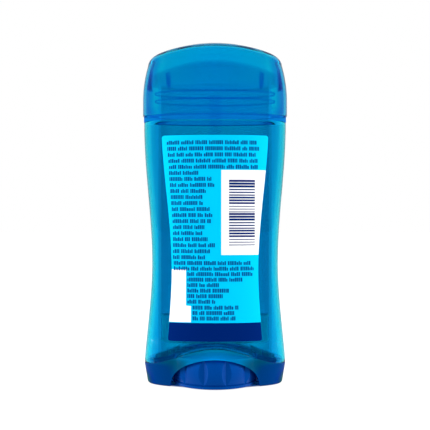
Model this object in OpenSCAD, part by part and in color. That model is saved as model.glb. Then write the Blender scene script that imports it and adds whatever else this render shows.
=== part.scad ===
// Clear-gel deodorant stick: waisted oval pack with a domed cap, a round
// hand wheel between two feet, and a screw that lifts the gel to the applicator.
// The pack stands on its feet at z = 0 and its label faces -Y.

/* [Body] */
// Width of the body at its shoulder
body_w = 64.8; // [58:0.2:72]
// Depth of the body at its shoulder
body_d = 29.2; // [28:0.1:33]
// How much narrower the body is at its waist
waist_in_w = 7.2; // [4:0.2:9]
// How much thinner the body is at its waist
waist_in_d = 2.4; // [0.8:0.1:3]
// Height of the waist above the ground
waist_z = 54; // [40:1:75]
// Height of the shoulder above the ground
body_h = 118.6; // [100:0.2:135]
// Exponent of the oval section, 2 being an ellipse
oval_n = 2.2; // [2:0.05:2.5]
// Wall of the outer shell
shell_wall = 1.3; // [0.9:0.1:1.6]
// Rounding of the shell's top edge
shoulder_r = 0.8; // [0.3:0.1:1.1]

/* [Base] */
// How much narrower the pack is at the joint line's ends than at its shoulder
base_in_w = 0.4; // [0:0.2:4]
// How much thinner the pack is there than at its shoulder
base_in_d = 0.4; // [0:0.1:1.6]
// How much narrower the feet are at the ground than at the joint line's ends
foot_in_w = 3.2; // [1:0.2:5]
// How much thinner the feet are at the ground
foot_in_d = 1.4; // [0.6:0.1:2.4]
// Rounding at the bottom of the feet
foot_r = 1.1; // [0.6:0.1:2.2]
// Width of the sole under each foot, from the outside in
sole_w = 6; // [5:0.1:7]
// Thickness of the sole
sole_t = 1.5; // [1:0.1:2.2]
// Wall of the base
base_wall = 1.4; // [1.1:0.1:1.8]
// Height of the joint line at the pack's two ends
joint_z = 9.5; // [8:0.1:11]
// How far past the pack's ends the joint line's wave would come to rest
joint_over = 1.7; // [1:0.1:4]
// Groove left between the shell and the base
joint_gap = 0.3; // [0.2:0.05:0.5]
// Height of the base's tongue inside the shell
tongue_h = 2.4; // [1.2:0.1:4]
// Thickness of the tongue
tongue_t = 1; // [0.7:0.1:1.2]
// Height of the step under the tongue
tongue_seat = 1; // [0.6:0.1:1.6]
// Gap between the wheel and each side of the arch
arch_gap = 0.1; // [0.05:0.05:1.2]
// How far the arch clears the top of the wheel
arch_over = 0.7; // [0.4:0.1:1.2]
// Height of the base over the middle of the arch
arch_band = 3.3; // [2:0.1:5]
// Flare at the arch's two lower ends
arch_r = 0.6; // [0.4:0.1:1.6]
// Size of the blend where the hood grows out of the base
hood_blend = 1.5; // [0.8:0.1:2.2]
// Least height of the hood's shoulder under the joint line
hood_drop = 2; // [1.2:0.1:3]

/* [Wheel] */
// Diameter of the hand wheel at its middle
wheel_d = 39.6; // [34:0.2:41]
// Height of the hand wheel
wheel_h = 12.6; // [11:0.1:12.8]
// Gap under the wheel
wheel_z = 0.4; // [0.3:0.1:1]
// How far the wheel's side bulges past its ends
wheel_bulge = 1.1; // [0.6:0.1:1.4]
// Height of the plain rim at the wheel's foot
rim_h = 1.3; // [0.8:0.1:2]
// How far the rim stands inside the widest part
rim_in = 0.5; // [0.1:0.1:0.8]
// Chamfer under the rim
rim_chamfer = 0.2; // [0.1:0.05:0.4]
// Number of finger grooves
groove_count = 12; // [8:1:16]
// Width of a finger groove
groove_w = 4.9; // [3:0.1:6]
// How far a groove's root lies inside the wheel's ends
groove_in = 0.05; // [0.02:0.01:0.3]
// Wall of the wheel behind the grooves
wheel_wall = 1.4; // [1:0.1:2]
// Thickness of the wheel's top disc
wheel_top = 1.3; // [1:0.1:2]
// Number of ribs under the wheel
wheel_ribs = 6; // [3:1:8]
// Thickness of the ribs under the wheel
rib_t = 1; // [0.7:0.1:1.5]
// How far the ribs end above the wheel's foot
rib_in = 1; // [0.5:0.1:3]
// Outer diameter of the wheel's hub
hub_d = 11; // [9:0.5:14]
// How far the hub ends above the wheel's foot
hub_in = 1.8; // [1.4:0.1:3]
// Running gap round the wheel
wheel_gap = 0.4; // [0.3:0.05:0.6]

/* [Gel chamber] */
// Wall of the chamber
chamber_wall = 1.2; // [0.9:0.1:1.4]
// Gap between the chamber and the shell's waist
chamber_gap = 1.7; // [1.2:0.1:2.4]
// Gap between the wheel's top and the chamber's floor
floor_gap = 0.7; // [0.4:0.1:1]
// Thickness of the chamber's floor
floor_t = 1.4; // [1:0.1:2]
// How far the two end pockets hang below the floor
pocket_drop = 4.2; // [2:0.1:4.6]
// Height of the collar round the screw on the chamber's floor
boss_h = 1.8; // [1:0.1:2.4]
// Margin of that collar round the screw's thrust collar
boss_edge = 0.5; // [0.3:0.1:1]
// Thickness of the flange that sits on the shoulder
flange_h = 2.5; // [1.8:0.1:3.2]
// How far the flange stands out past the shoulder
flange_out = 0.1; // [0:0.05:0.3]
// Height of the wall that the cap grips
spigot_h = 3.6; // [2.6:0.1:5]
// Wall that the cap grips
spigot_t = 1.2; // [0.9:0.1:1.5]
// Height of the neck above the flange
neck_h = 14.2; // [12.6:0.1:16]
// Width of the mould mark in the flange
mark_w = 5.8; // [3:0.1:8]
// Height of the mould mark
mark_h = 1.4; // [0.8:0.1:1.6]
// Depth of the mould mark
mark_t = 0.4; // [0.2:0.05:0.6]

/* [Screw and platform] */
// Diameter of the feed screw
screw_d = 6; // [5:0.2:7]
// How far the screw ends below the neck's rim
screw_short = 4.5; // [3:0.1:8]
// Diameter of the thrust collar on the screw
collar_d = 10.4; // [9:0.1:12]
// Thickness of the thrust collar
collar_t = 1.2; // [0.8:0.1:1.8]
// Side of the screw's square tail
tail_w = 4; // [3.2:0.1:4.4]
// How far the keeper under the hub stands outside the screw
keeper_out = 0.3; // [0.1:0.1:0.8]
// Thickness of the keeper
keeper_t = 1; // [0.6:0.1:1.2]
// Clearance round every running or seated screw fit
fit = 0.05; // [0.03:0.01:0.08]
// Gap between the thrust collar and the lowered platform
lift_rest = 0.7; // [0.3:0.1:1.5]
// Height of the platform that lifts the gel
lift_h = 12; // [8:0.5:16]
// Thickness of the platform's crown
lift_top = 1.6; // [1.2:0.1:2.2]
// Wall of the platform's skirt
lift_wall = 1.2; // [0.9:0.1:1.5]
// Height of each wiping lip
lip_h = 1.2; // [0.8:0.1:2]
// How far the skirt stands inside its lips
lip_out = 0.4; // [0.2:0.1:0.6]
// Gap between the wiping lips and the chamber
lift_gap = 0.2; // [0.12:0.02:0.3]
// Outer diameter of the platform's nut
nut_d = 11; // [10:0.2:13]
// How far the nut ends under the platform's top
nut_short = 0.5; // [0.3:0.1:1]
// Height at which the platform's long rib starts
long_rib_z = 2; // [1.4:0.1:4]
// Height at which the platform's cross ribs start
cross_rib_z = 4; // [1.4:0.1:6]
// Gap left at each end of the gel
gel_gap = 0.3; // [0.2:0.05:0.5]
// Gap between the gel and the chamber's wall
gel_clear = 0.15; // [0.1:0.01:0.2]
// Gap between the screw's end and the gel
screw_room = 0.5; // [0.3:0.1:1]

/* [Applicator and seal] */
// Wall of the applicator's skirt
head_wall = 1.2; // [0.9:0.1:1.3]
// Gap between the wall that the cap grips and the applicator's skirt
head_gap = 0.2; // [0.1:0.05:0.4]
// How far the applicator's ledge reaches over the neck's rim
ledge_w = 0.6; // [0.3:0.1:0.9]
// Gap between the neck and what snaps over it
neck_clear = 0.15; // [0.1:0.01:0.25]
// Height of the applicator's crown above the neck's rim
head_rise = 10; // [8:0.1:11]
// Radius of the crowns across the width
crown_r = 56; // [50:1:70]
// Radius of the crowns across the depth
crown_r_side = 26; // [22:1:40]
// Thickness of the applicator's crown
head_top = 1.3; // [1:0.1:1.6]
// Radius of a dispensing hole
hole_r = 1.1; // [0.7:0.1:1.4]
// Distance between dispensing holes
hole_pitch = 5.6; // [4.6:0.1:7]
// Height of the lower bead above the flange
bead_low = 6.9; // [5.6:0.1:8]
// Height of the upper bead above the flange
bead_high = 10.4; // [9:0.1:12]
// Height of a bead
bead_h = 0.8; // [0.4:0.1:1.2]
// How far a bead stands out of the skirt
bead_out = 0.25; // [0.1:0.05:0.4]
// Distance from the chamber's end to a gel guide under the crown
guide_in = 4.6; // [2.5:0.1:6]
// Thickness of a gel guide at its foot
guide_t = 1.1; // [0.7:0.05:1.6]
// Thickness of a gel guide at the crown
guide_tip = 0.45; // [0.3:0.05:0.7]
// Height of a gel guide's foot above the neck's rim
guide_up = 0.6; // [0.2:0.1:2]
// Wall of the pull-off seal
seal_wall = 0.9; // [0.7:0.1:1.1]
// Gap between the applicator and the seal
seal_gap = 0.3; // [0.2:0.05:0.4]
// Gap between the two crowns
crown_gap = 0.7; // [0.4:0.1:1]

/* [Cap] */
// Height of the cap
cap_h = 33.2; // [33:0.1:40]
// How far the cap stands outside the shoulder
cap_lip = 0.55; // [0.4:0.05:1.2]
// Wall of the cap
cap_wall = 1.5; // [1.2:0.1:1.6]
// Height of the cap's straight lower part
cap_straight = 7; // [4:0.5:9]
// Radius of the cap's side above the straight part
cap_side_r = 55.5; // [52:0.5:80]
// Share of the side's curve that the front and back take
cap_side_share = 0.15; // [0.05:0.05:0.5]
// Rounding between the cap's side and its crown
cap_edge_r = 3.1; // [2.5:0.1:5.5]
// Radius of the cap's crown across the width
cap_crown_r = 66; // [62:1:90]
// Radius of the cap's crown across the depth
cap_crown_r_side = 34; // [30:1:60]
// Gap between the cap's rim and the flange
cap_gap = 0.1; // [0.05:0.01:0.2]
// How far the oval skirt inside the cap stands in from the seal's ends
skirt_in_w = 4.85; // [2:0.05:9]
// How far it stands in from the seal's front and back
skirt_in_d = 3.45; // [1.5:0.05:5]
// Thickness of the oval skirt
skirt_t = 0.9; // [0.7:0.1:1.2]
// Gap between the cap's inner parts and the seal
skirt_gap = 0.5; // [0.3:0.05:0.8]
// Distance between the three centring ribs at each end of the cap
fin_pitch = 2.6; // [1.6:0.1:3.2]
// Thickness of a centring rib
fin_t = 0.9; // [0.6:0.1:1.4]
// Height of the centring ribs' lower end above the cap's rim
fin_z = 12; // [11:0.5:15]
// How far the ribs' upper end lies under the cap's rounding
fin_drop = 4.5; // [3:0.1:7]

/* [Label] */
// Distance from the middle of the joint line up to the label
label_up = 3.1; // [2:0.1:8]
// Distance from the label's upper edge to the shoulder
label_drop = 7.1; // [4:0.1:15]
// Margin between the label's lower corners and the outline of the body
label_side_low = 10.1; // [7:0.1:12]
// Margin between the label's upper corners and the outline of the body
label_side_high = 8.6; // [7:0.1:12]
// Margin between the print and the label's edge
edge_in = 0.1; // [0.05:0.05:1]
// Thickness of the label's film
film_t = 0.12; // [0.1:0.01:0.2]
// Gap between the film and the shell
film_gap = 0.08; // [0.06:0.01:0.12]
// Thickness of a printed field
ink_t = 0.05; // [0.04:0.01:0.08]
// Gap between the film and the print
ink_gap = 0.03; // [0.02:0.01:0.05]
// Gap between the white panel and the bars
bar_gap = 0.05; // [0.04:0.01:0.08]
// Height of the dark band at the label's foot
band_h = 8.3; // [5:0.1:12]
// Gap between the dark band and the white strip
band_gap = 0.3; // [0.1:0.1:1]
// Distance from the label's middle to the white panel
panel_x = 2.8; // [0:0.1:6]
// Distance from the label's lower edge up to the white panel
panel_up = 38.3; // [30:0.1:44]
// Height of the white panel
panel_h = 37.4; // [30:0.1:44]
// Height of the white strip over the dark band
strip_h = 7.3; // [4:0.1:9]
// Width of the white strip at the waist
strip_w = 8.6; // [6:0.1:12]
// Height of the white tab over the strip
tab_h = 15.9; // [10:0.1:20]
// Width of the white tab at the waist
tab_w = 6.4; // [4:0.1:9]
// Margin between the panel and the bars on the side of the label's middle
bar_in = 3.4; // [1:0.1:6]
// Margin between the label's edge at the waist and the bars
bar_out = 1.6; // [1:0.1:4]
// Margin between the panel's lower edge and the bars
bar_up = 4.2; // [1:0.1:6]
// Height of all the bars together
bars_h = 29.2; // [20:0.1:30]
// Number of bars
bar_count = 24; // [12:1:30]

/* [Hidden] */
$fn = 96;
sides = 64;          // points round a lofted oval
prism_sides = 96;    // points round a straight oval
eps = 0.01;
over = 1;            // how far a cut runs past what it cuts
sink = 0.5;          // how far ribs reach into what they join

cap_blue = [0.02, 0.50, 0.76];
shell_blue = [0.02, 0.62, 0.80];
barrel_blue = [0.02, 0.36, 0.78];
base_blue = [0.01, 0.30, 0.62];
wheel_blue = [0.00, 0.25, 0.62];
part_white = [0.90, 0.93, 0.95];
part_clear = [0.82, 0.93, 0.98];
gel_blue = [0.45, 0.80, 0.90];
film_cyan = [0.00, 0.86, 1.00];
ink_white = [0.98, 0.98, 0.99];
ink_navy = [0.00, 0.12, 0.43];

// Body
waist_w = body_w - waist_in_w;
waist_d = body_d - waist_in_d;
base_w = body_w - base_in_w;
base_d = body_d - base_in_d;
foot_w = base_w - foot_in_w;
foot_d = base_d - foot_in_d;

// Wheel and base
wheel_r = wheel_d / 2;
wheel_top_z = wheel_z + wheel_h;
wheel_end_r = wheel_r - wheel_bulge;
hood_r = wheel_r + wheel_gap + base_wall;
hood_z = wheel_top_z + wheel_gap;
arch_w = wheel_d + 2 * arch_gap;
arch_h = wheel_top_z + arch_over;
joint_mid_z = arch_h + arch_band + joint_gap;
joint_reach = base_w / 2 + joint_over;
tongue_in = shell_wall + neck_clear;

// Chamber
chamber_a = waist_w / 2 - shell_wall - chamber_gap;
chamber_b = waist_d / 2 - shell_wall - chamber_gap;
bore_a = chamber_a - chamber_wall;
bore_b = chamber_b - chamber_wall;
floor_z = wheel_top_z + floor_gap;
floor_top = floor_z + floor_t;
pocket_z = floor_top - pocket_drop;
pocket_x = wheel_r + 2 * wheel_gap + chamber_wall;
boss_top = floor_top + boss_h;
flange_top = body_h + flange_h;
neck_top = flange_top + neck_h;
spigot_a = body_w / 2 + cap_lip - cap_wall - 2 * neck_clear;
spigot_b = body_d / 2 + cap_lip - cap_wall - 2 * neck_clear;

// Screw and platform
screw_r = screw_d / 2;
screw_top = neck_top - screw_short;
collar_z = boss_top + fit;
lift_z = collar_z + collar_t + lift_rest;
lift_top_z = lift_z + lift_h;
lip_a = bore_a - lift_gap;
lip_b = bore_b - lift_gap;
gel_z = lift_top_z + gel_gap;
gel_top = neck_top - gel_gap;
tail_z = wheel_z + hub_in;
boss_d = collar_d + 2 * boss_edge;

// Applicator and seal
head_a = chamber_a + neck_clear + head_wall;
head_b = chamber_b + neck_clear + head_wall;
head_z = flange_top + spigot_h + head_gap;
head_top_z = neck_top + head_rise;
seal_in_a = head_a + seal_gap;
seal_in_b = head_b + seal_gap;
seal_a = seal_in_a + seal_wall;
seal_b = seal_in_b + seal_wall;
seal_top_z = head_top_z + crown_gap + seal_wall;

// Cap
cap_a = body_w / 2 + cap_lip;
cap_b = body_d / 2 + cap_lip;
cap_z = flange_top + cap_gap;
cap_top_z = cap_z + cap_h;
fin_x = seal_a + skirt_gap;
skirt_a = seal_a - skirt_in_w;
skirt_b = seal_b - skirt_in_d;

// Label
label_z = joint_mid_z + label_up;
label_top = body_h - label_drop;
label_waist = waist_w / 2 - label_margin(waist_z);
ink_off = film_gap + film_t + ink_gap;
band_top = label_z + band_h;
strip_z = band_top + band_gap;
tab_z = strip_z + strip_h;
panel_z = label_z + panel_up;

function mix(p, q, t) = p + (q - p) * t;
function clamp(t) = min(1, max(0, t));
function smooth(t) = clamp(t) * clamp(t) * (3 - 2 * clamp(t));
function spow(v, e) = sign(v) * pow(abs(v), e);

// Larger of two lengths, rounded over where they are within k of each other
function round_max(p, q, k) = max(p, q) + pow(max(k - abs(p - q), 0), 2) / (4 * k);

// Point of an oval at angle t
function oval_at(a, b, t) = [a * spow(cos(t), 2 / oval_n), b * spow(sin(t), 2 / oval_n)];
function oval(a, b) = [for (i = [0:prism_sides - 1]) oval_at(a, b, 360 * i / prism_sides)];

// Share of the flare between the waist (0) and the shoulder or the joint line (1)
function flare(z) = z >= waist_z
    ? (1 - cos(180 * (z - waist_z) / (body_h - waist_z))) / 2
    : let (t = (waist_z - z) / (waist_z - joint_z)) t * t * (2 - t);

// Half-width or half-depth of the pack at height z
function side_at(z, waist, top, end, foot) =
    z >= waist_z ? mix(waist, top, flare(z)) / 2
    : z >= joint_z ? mix(waist, end, flare(z)) / 2
    : mix(foot, end, z / joint_z) / 2;
function half_w(z) = side_at(z, waist_w, body_w, base_w, foot_w);
function half_d(z) = side_at(z, waist_d, body_d, base_d, foot_d);

// Point of the pack's outline at height z, moved inwards
function body_at(t, z, inset) = oval_at(half_w(z) - inset, half_d(z) - inset, t);

// Height of the joint line above a place x across the pack
function joint_at_x(x) =
    joint_z + (joint_mid_z - joint_z) * pow(cos(min(90, 90 * abs(x) / joint_reach)), 2);
function joint_at(t) = joint_at_x(body_at(t, joint_at_x(body_at(t, joint_z, 0)[0]), 0)[0]);

// Radius of the hood round the wheel, which grows out of the body below the joint line
function hood_at(t, z) =
    let (top = joint_at(t), low = half_d(top) - hood_blend)
    mix(low, hood_r, smooth((top - z) / max(top - hood_z, hood_drop / 2)));

// Point of the base's outline with its hood; an inner one also clears the wheel
function base_at(t, z, inset, inner = false) =
    let (p = body_at(t, z, inset), r = norm(p),
         hooded = round_max(r, hood_at(t, z) - inset, hood_blend),
         room = inner && z <= hood_z ? wheel_r + wheel_gap : 0)
    p * max(hooded, room) / r;

function lift(p, z) = [p[0], p[1], z];

// Closed solid through a list of rings: a tube round a closed profile, or with two poles
module skin(rings, poles = []) {
    n = len(rings[0]);
    k = len(rings);
    closed = len(poles) == 0;
    points = concat([for (ring = rings) each ring], poles);
    last = closed ? k - 1 : k - 2;
    faces = concat(
        [for (j = [0:last], i = [0:n - 1])
            let (a = j * n + i, b = j * n + (i + 1) % n,
                 up = (j + 1) % k, d = up * n + i, c = up * n + (i + 1) % n)
            each [[a, d, c], [a, c, b]]],
        closed ? [] : [for (i = [0:n - 1]) [k * n, i, (i + 1) % n]],
        closed ? [] : [for (i = [0:n - 1])
            [(k - 1) * n + i, k * n + 1, (k - 1) * n + (i + 1) % n]]);
    polyhedron(points, faces);
}

module oval_prism(a, b, z0, z1) {
    translate([0, 0, z0]) linear_extrude(z1 - z0) polygon(oval(a, b));
}

// Everything under a crown that bows across the width and the depth
module under_crown(top, r, r_side) {
    half = cap_b + over;
    translate([0, half, top - r]) rotate([90, 0, 0])
        rotate_extrude() intersection() {
            square([r + over, 2 * half]);
            union() {
                translate([r - r_side, half]) circle(r_side);
                square([r - r_side, 2 * half]);
            }
        }
}

function ring_at(f) = [for (i = [0:sides - 1]) f(360 * i / sides)];

module outer_shell() {
    levels = 13;
    inner_levels = 8;
    top = body_h - shoulder_r;
    rings = concat(
        [for (j = [0:levels]) ring_at(function(t)
            let (z = mix(joint_at(t), top, j / levels)) lift(body_at(t, z, 0), z))],
        [for (f = [30:30:90]) ring_at(function(t)
            let (z = top + shoulder_r * sin(f))
            lift(body_at(t, z, shoulder_r * (1 - cos(f))), z))],
        [for (j = [inner_levels:-1:0]) ring_at(function(t)
            let (z = mix(joint_at(t), body_h, j / inner_levels))
            lift(body_at(t, z, shell_wall), z))]);
    color(shell_blue, 0.6) skin(rings);
}

module base_loft() {
    low_levels = 3;
    hood_levels = 6;
    top = function(t) joint_at(t) - joint_gap;
    brim = function(t) min(hood_z, top(t) - hood_drop);
    seat = function(t) top(t) - tongue_seat;
    in = base_wall;
    deep = tongue_in + tongue_t;
    rings = concat(
        [for (f = [0:30:90]) ring_at(function(t)
            let (z = foot_r * (1 - cos(f)))
            lift(base_at(t, z, foot_r * (1 - sin(f))), z))],
        [for (j = [1:low_levels]) ring_at(function(t)
            let (z = mix(foot_r, brim(t), j / low_levels)) lift(base_at(t, z, 0), z))],
        [for (j = [1:hood_levels]) ring_at(function(t)
            let (z = mix(brim(t), top(t), j / hood_levels)) lift(base_at(t, z, 0), z))],
        [ring_at(function(t) let (z = top(t)) lift(base_at(t, z, tongue_in), z)),
         ring_at(function(t) let (z = top(t) + tongue_h) lift(body_at(t, z, tongue_in), z)),
         ring_at(function(t) let (z = top(t) + tongue_h) lift(body_at(t, z, deep), z)),
         ring_at(function(t) let (z = seat(t)) lift(base_at(t, z, deep, true), z))],
        [for (j = [3:-1:1]) ring_at(function(t)
            let (z = mix(brim(t), seat(t), j / 4)) lift(base_at(t, z, in, true), z))],
        [for (j = [2:-1:1]) ring_at(function(t)
            let (z = mix(sole_t, brim(t), j / 2)) lift(base_at(t, z, in, true), z))],
        [ring_at(function(t) lift(base_at(t, sole_t, in, true), sole_t)),
         ring_at(function(t) lift(body_at(t, sole_t, sole_w), sole_t)),
         ring_at(function(t) lift(body_at(t, 0, sole_w), 0))]);
    skin(rings);
}

// Half of the arch's outline: an ellipse that flares out at the ground
function arch_half() =
    let (a = arch_w / 2, x = a * sqrt(1 - pow(arch_r / arch_h, 2)), start = asin(arch_r / arch_h))
    concat(
        [for (f = [0:22.5:67.5]) [x + arch_r * (1 - sin(f)), arch_r * (1 - cos(f))]],
        [for (i = [0:14]) let (f = mix(start, 90, i / 14)) [a * cos(f), arch_h * sin(f)]]);

module base_skirt() {
    half = arch_half();
    n = len(half);
    outline = concat([[half[0][0], -over]], half,
                     [for (i = [n - 2:-1:0]) [-half[i][0], half[i][1]]],
                     [[-half[0][0], -over]]);
    color(base_blue, 0.85) difference() {
        base_loft();
        translate([0, hood_r + over, 0]) rotate([90, 0, 0])
            linear_extrude(2 * (hood_r + over)) polygon(outline);
    }
}

module wheel_profile() {
    steps = 8;
    z0 = wheel_z + rim_h;
    mid = (z0 + wheel_top_z) / 2;
    half = (wheel_top_z - z0) / 2;
    polygon(concat(
        [[0, wheel_z], [wheel_r - rim_in - rim_chamfer, wheel_z],
         [wheel_r - rim_in, wheel_z + rim_chamfer], [wheel_r - rim_in, z0]],
        [for (i = [0:steps]) let (s = mix(-1, 1, i / steps))
            [wheel_r - wheel_bulge * s * s, mid + half * s]],
        [[0, wheel_top_z]]));
}

module dial() {
    inner_r = wheel_end_r - wheel_wall;
    groove_end = groove_w / 2 * (wheel_bulge + over) / wheel_bulge;
    color(wheel_blue) difference() {
        union() {
            difference() {
                rotate_extrude() wheel_profile();
                translate([0, 0, wheel_z - over])
                    cylinder(r = inner_r, h = wheel_h - wheel_top + over);
                for (i = [0:groove_count - 1])
                    rotate(360 * (i + 0.5) / groove_count)
                        translate([0, 0, wheel_z + rim_h]) linear_extrude(wheel_h)
                            polygon([[wheel_end_r - groove_in, 0],
                                     [wheel_r + over, groove_end], [wheel_r + over, -groove_end]]);
            }
            translate([0, 0, tail_z]) cylinder(d = hub_d, h = floor_z - fit - tail_z);
            for (i = [0:wheel_ribs - 1])
                rotate(360 * i / wheel_ribs)
                    translate([hub_d / 2 - sink, -rib_t / 2, wheel_z + rib_in])
                        cube([inner_r - hub_d / 2 + 2 * sink, rib_t,
                              wheel_h - wheel_top - rib_in + sink]);
        }
        translate([-tail_w / 2 - fit, -tail_w / 2 - fit, 0])
            cube([tail_w + 2 * fit, tail_w + 2 * fit, floor_z]);
    }
}

module feed_screw() {
    color(part_clear, 0.5) {
        translate([0, 0, floor_z]) cylinder(r = screw_r, h = screw_top - floor_z);
        translate([0, 0, collar_z]) cylinder(d = collar_d, h = collar_t);
        translate([-tail_w / 2, -tail_w / 2, tail_z - fit])
            cube([tail_w, tail_w, floor_z - tail_z + sink]);
        translate([0, 0, tail_z - fit - keeper_t])
            cylinder(r = screw_r + keeper_out, h = keeper_t);
    }
}

module inner_barrel() {
    color(barrel_blue, 0.7) difference() {
        union() {
            oval_prism(chamber_a, chamber_b, pocket_z - chamber_wall, neck_top);
            oval_prism(body_w / 2 + flange_out, body_d / 2 + flange_out, body_h, flange_top);
            oval_prism(spigot_a, spigot_b, flange_top - eps, flange_top + spigot_h);
        }
        difference() {
            oval_prism(spigot_a - spigot_t, spigot_b - spigot_t, flange_top,
                       flange_top + spigot_h + over);
            oval_prism(chamber_a, chamber_b, flange_top - over, flange_top + spigot_h + 2 * over);
        }
        difference() {
            oval_prism(bore_a, bore_b, pocket_z, neck_top + over);
            translate([-pocket_x, -cap_b, 0]) cube([2 * pocket_x, 2 * cap_b, floor_top]);
            cylinder(d = boss_d, h = boss_top);
        }
        cylinder(r = wheel_r + wheel_gap, h = floor_z);
        cylinder(r = screw_r + fit, h = boss_top + over);
        translate([-mark_w / 2, -body_d / 2 - flange_out - over, flange_top - mark_h])
            cube([mark_w, mark_t + over, mark_h + over]);
    }
}

module elevator() {
    in_a = lip_a - lip_out - lift_wall;
    in_b = lip_b - lip_out - lift_wall;
    rib_top = lift_h - lift_top + sink;
    color(part_white) difference() {
        union() {
            difference() {
                union() {
                    oval_prism(lip_a - lip_out, lip_b - lip_out, lift_z, lift_top_z);
                    oval_prism(lip_a, lip_b, lift_z, lift_z + lip_h);
                    oval_prism(lip_a, lip_b, lift_top_z - lip_h, lift_top_z);
                }
                oval_prism(in_a, in_b, lift_z - over, lift_top_z - lift_top);
            }
            translate([0, 0, lift_z]) cylinder(d = nut_d, h = lift_h - nut_short);
            for (s = [0, 180])
                rotate(s) translate([nut_d / 2 - sink, -rib_t / 2, lift_z + long_rib_z])
                    cube([in_a - nut_d / 2 + 2 * sink, rib_t, rib_top - long_rib_z]);
            for (x = [-in_a / 2, in_a / 2])
                translate([x - rib_t / 2, -in_b, lift_z + cross_rib_z])
                    cube([rib_t, 2 * in_b, rib_top - cross_rib_z]);
        }
        translate([0, 0, lift_z - over]) cylinder(r = screw_r + fit, h = lift_h + 2 * over);
    }
}

module gel() {
    color(gel_blue, 0.5) difference() {
        oval_prism(bore_a - gel_clear, bore_b - gel_clear, gel_z, gel_top);
        translate([0, 0, gel_z - over])
            cylinder(r = screw_r + fit + gel_clear, h = screw_top + screw_room - gel_z + over);
    }
}

module applicator_head() {
    ledge_a = chamber_a - ledge_w;
    ledge_b = chamber_b - ledge_w;
    guide_x = chamber_a - guide_in;
    guide_z = neck_top + guide_up;
    color(part_white, 0.8) difference() {
        union() {
            intersection() {
                oval_prism(head_a, head_b, head_z, head_top_z + over);
                under_crown(head_top_z, crown_r, crown_r_side);
            }
            for (z = [bead_low, bead_high])
                oval_prism(head_a + bead_out, head_b + bead_out,
                           flange_top + z - bead_h / 2, flange_top + z + bead_h / 2);
        }
        oval_prism(chamber_a + neck_clear, chamber_b + neck_clear, head_z - over, neck_top + fit);
        difference() {
            intersection() {
                oval_prism(ledge_a, ledge_b, neck_top, head_top_z);
                under_crown(head_top_z - head_top, crown_r - head_top, crown_r_side - head_top);
            }
            for (s = [-1, 1])
                translate([s * guide_x, ledge_b + over, 0]) rotate([90, 0, 0])
                    linear_extrude(2 * (ledge_b + over))
                        polygon([[-guide_t / 2, guide_z], [guide_t / 2, guide_z],
                                 [guide_tip / 2, head_top_z], [-guide_tip / 2, head_top_z]]);
        }
        for (row = [-1:1], i = [-3 + abs(row) / 2:3 - abs(row) / 2])
            translate([i * hole_pitch, row * hole_pitch, neck_top])
                cylinder(r = hole_r, h = head_rise + over);
    }
}

module inner_seal() {
    inside_top = head_top_z + crown_gap;
    color(cap_blue, 0.4) difference() {
        intersection() {
            oval_prism(seal_a, seal_b, neck_top - seal_gap, seal_top_z + over);
            under_crown(seal_top_z, crown_r + crown_gap + seal_wall,
                        crown_r_side + crown_gap + seal_wall);
        }
        intersection() {
            oval_prism(seal_in_a, seal_in_b, neck_top - seal_gap - over, seal_top_z);
            under_crown(inside_top, crown_r + crown_gap, crown_r_side + crown_gap);
        }
    }
}

// Half-size of the cap at height z, from its size at the rim and its share of the curve
function cap_half(z, half, share) =
    half - share * pow(max(0, z - cap_z - cap_straight), 2) / (2 * cap_side_r);
function cap_at(t, z, inset) =
    oval_at(cap_half(z, cap_a, 1) - inset, cap_half(z, cap_b, cap_side_share) - inset, t);

// Height of a crown with its middle at the given height
function crown_at(p, top, r, r_side) = top - p[0] * p[0] / (2 * r) - p[1] * p[1] / (2 * r_side);
function cap_crown(p, inset) =
    crown_at(p, cap_top_z - inset, cap_crown_r, cap_crown_r_side);
function seal_crown(p) =
    crown_at(p, seal_top_z, crown_r, crown_r_side);

module cap_loft() {
    side_levels = 6;
    round_r = function(inset) max(cap_edge_r - inset, cap_wall);
    edge_from = function(t, z, inset) cap_crown(cap_at(t, z, inset), inset) - round_r(inset);
    edge = function(t, inset) edge_from(t, edge_from(t, cap_top_z, inset), inset);
    side = function(inset) [for (j = [0:side_levels]) ring_at(function(t)
        let (z = mix(cap_z, edge(t, inset), j / side_levels)) lift(cap_at(t, z, inset), z))];
    round_off = function(inset) [for (f = [22.5:22.5:67.5]) ring_at(function(t)
        let (z = edge(t, inset), p = cap_at(t, z, inset + round_r(inset) * (1 - cos(f))))
        lift(p, mix(z, cap_crown(p, inset), sin(f))))];
    top = function(inset, shares) [for (s = shares) ring_at(function(t)
        let (p = cap_at(t, edge(t, inset), inset + round_r(inset)) * s)
        lift(p, cap_crown(p, inset)))];
    skirt_ring = function(inset, low) ring_at(function(t)
        let (p = oval_at(skirt_a - inset, skirt_b - inset, t))
        lift(p, low ? seal_crown(p) + skirt_gap : cap_crown(p, cap_wall)));
    inner_side = side(cap_wall);
    inner_round = round_off(cap_wall);
    rings = concat(
        [skirt_ring(skirt_b / 2, false), skirt_ring(skirt_t, false), skirt_ring(skirt_t, true),
         skirt_ring(0, true), skirt_ring(0, false)],
        top(cap_wall, [1]),
        [for (j = [2:-1:0]) inner_round[j]],
        [for (j = [side_levels:-1:0]) inner_side[j]],
        side(0), round_off(0), top(0, [1, 0.85, 0.68, 0.5, 0.32, 0.15]));
    skin(rings, [[0, 0, cap_top_z - cap_wall], [0, 0, cap_top_z]]);
}

// One centring rib, whose outer edge runs inside the cap's end wall
module cap_fin() {
    low = cap_z + fin_z;
    high = cap_top_z - cap_edge_r - fin_drop;
    outline = concat(
        [[fin_x, high], [fin_x, low]],
        [for (i = [0:6]) let (z = mix(low, high, i / 6))
            [cap_half(z, cap_a, 1) - cap_wall / 2, z]]);
    translate([0, fin_t / 2, 0]) rotate([90, 0, 0]) linear_extrude(fin_t) polygon(outline);
}

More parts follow.
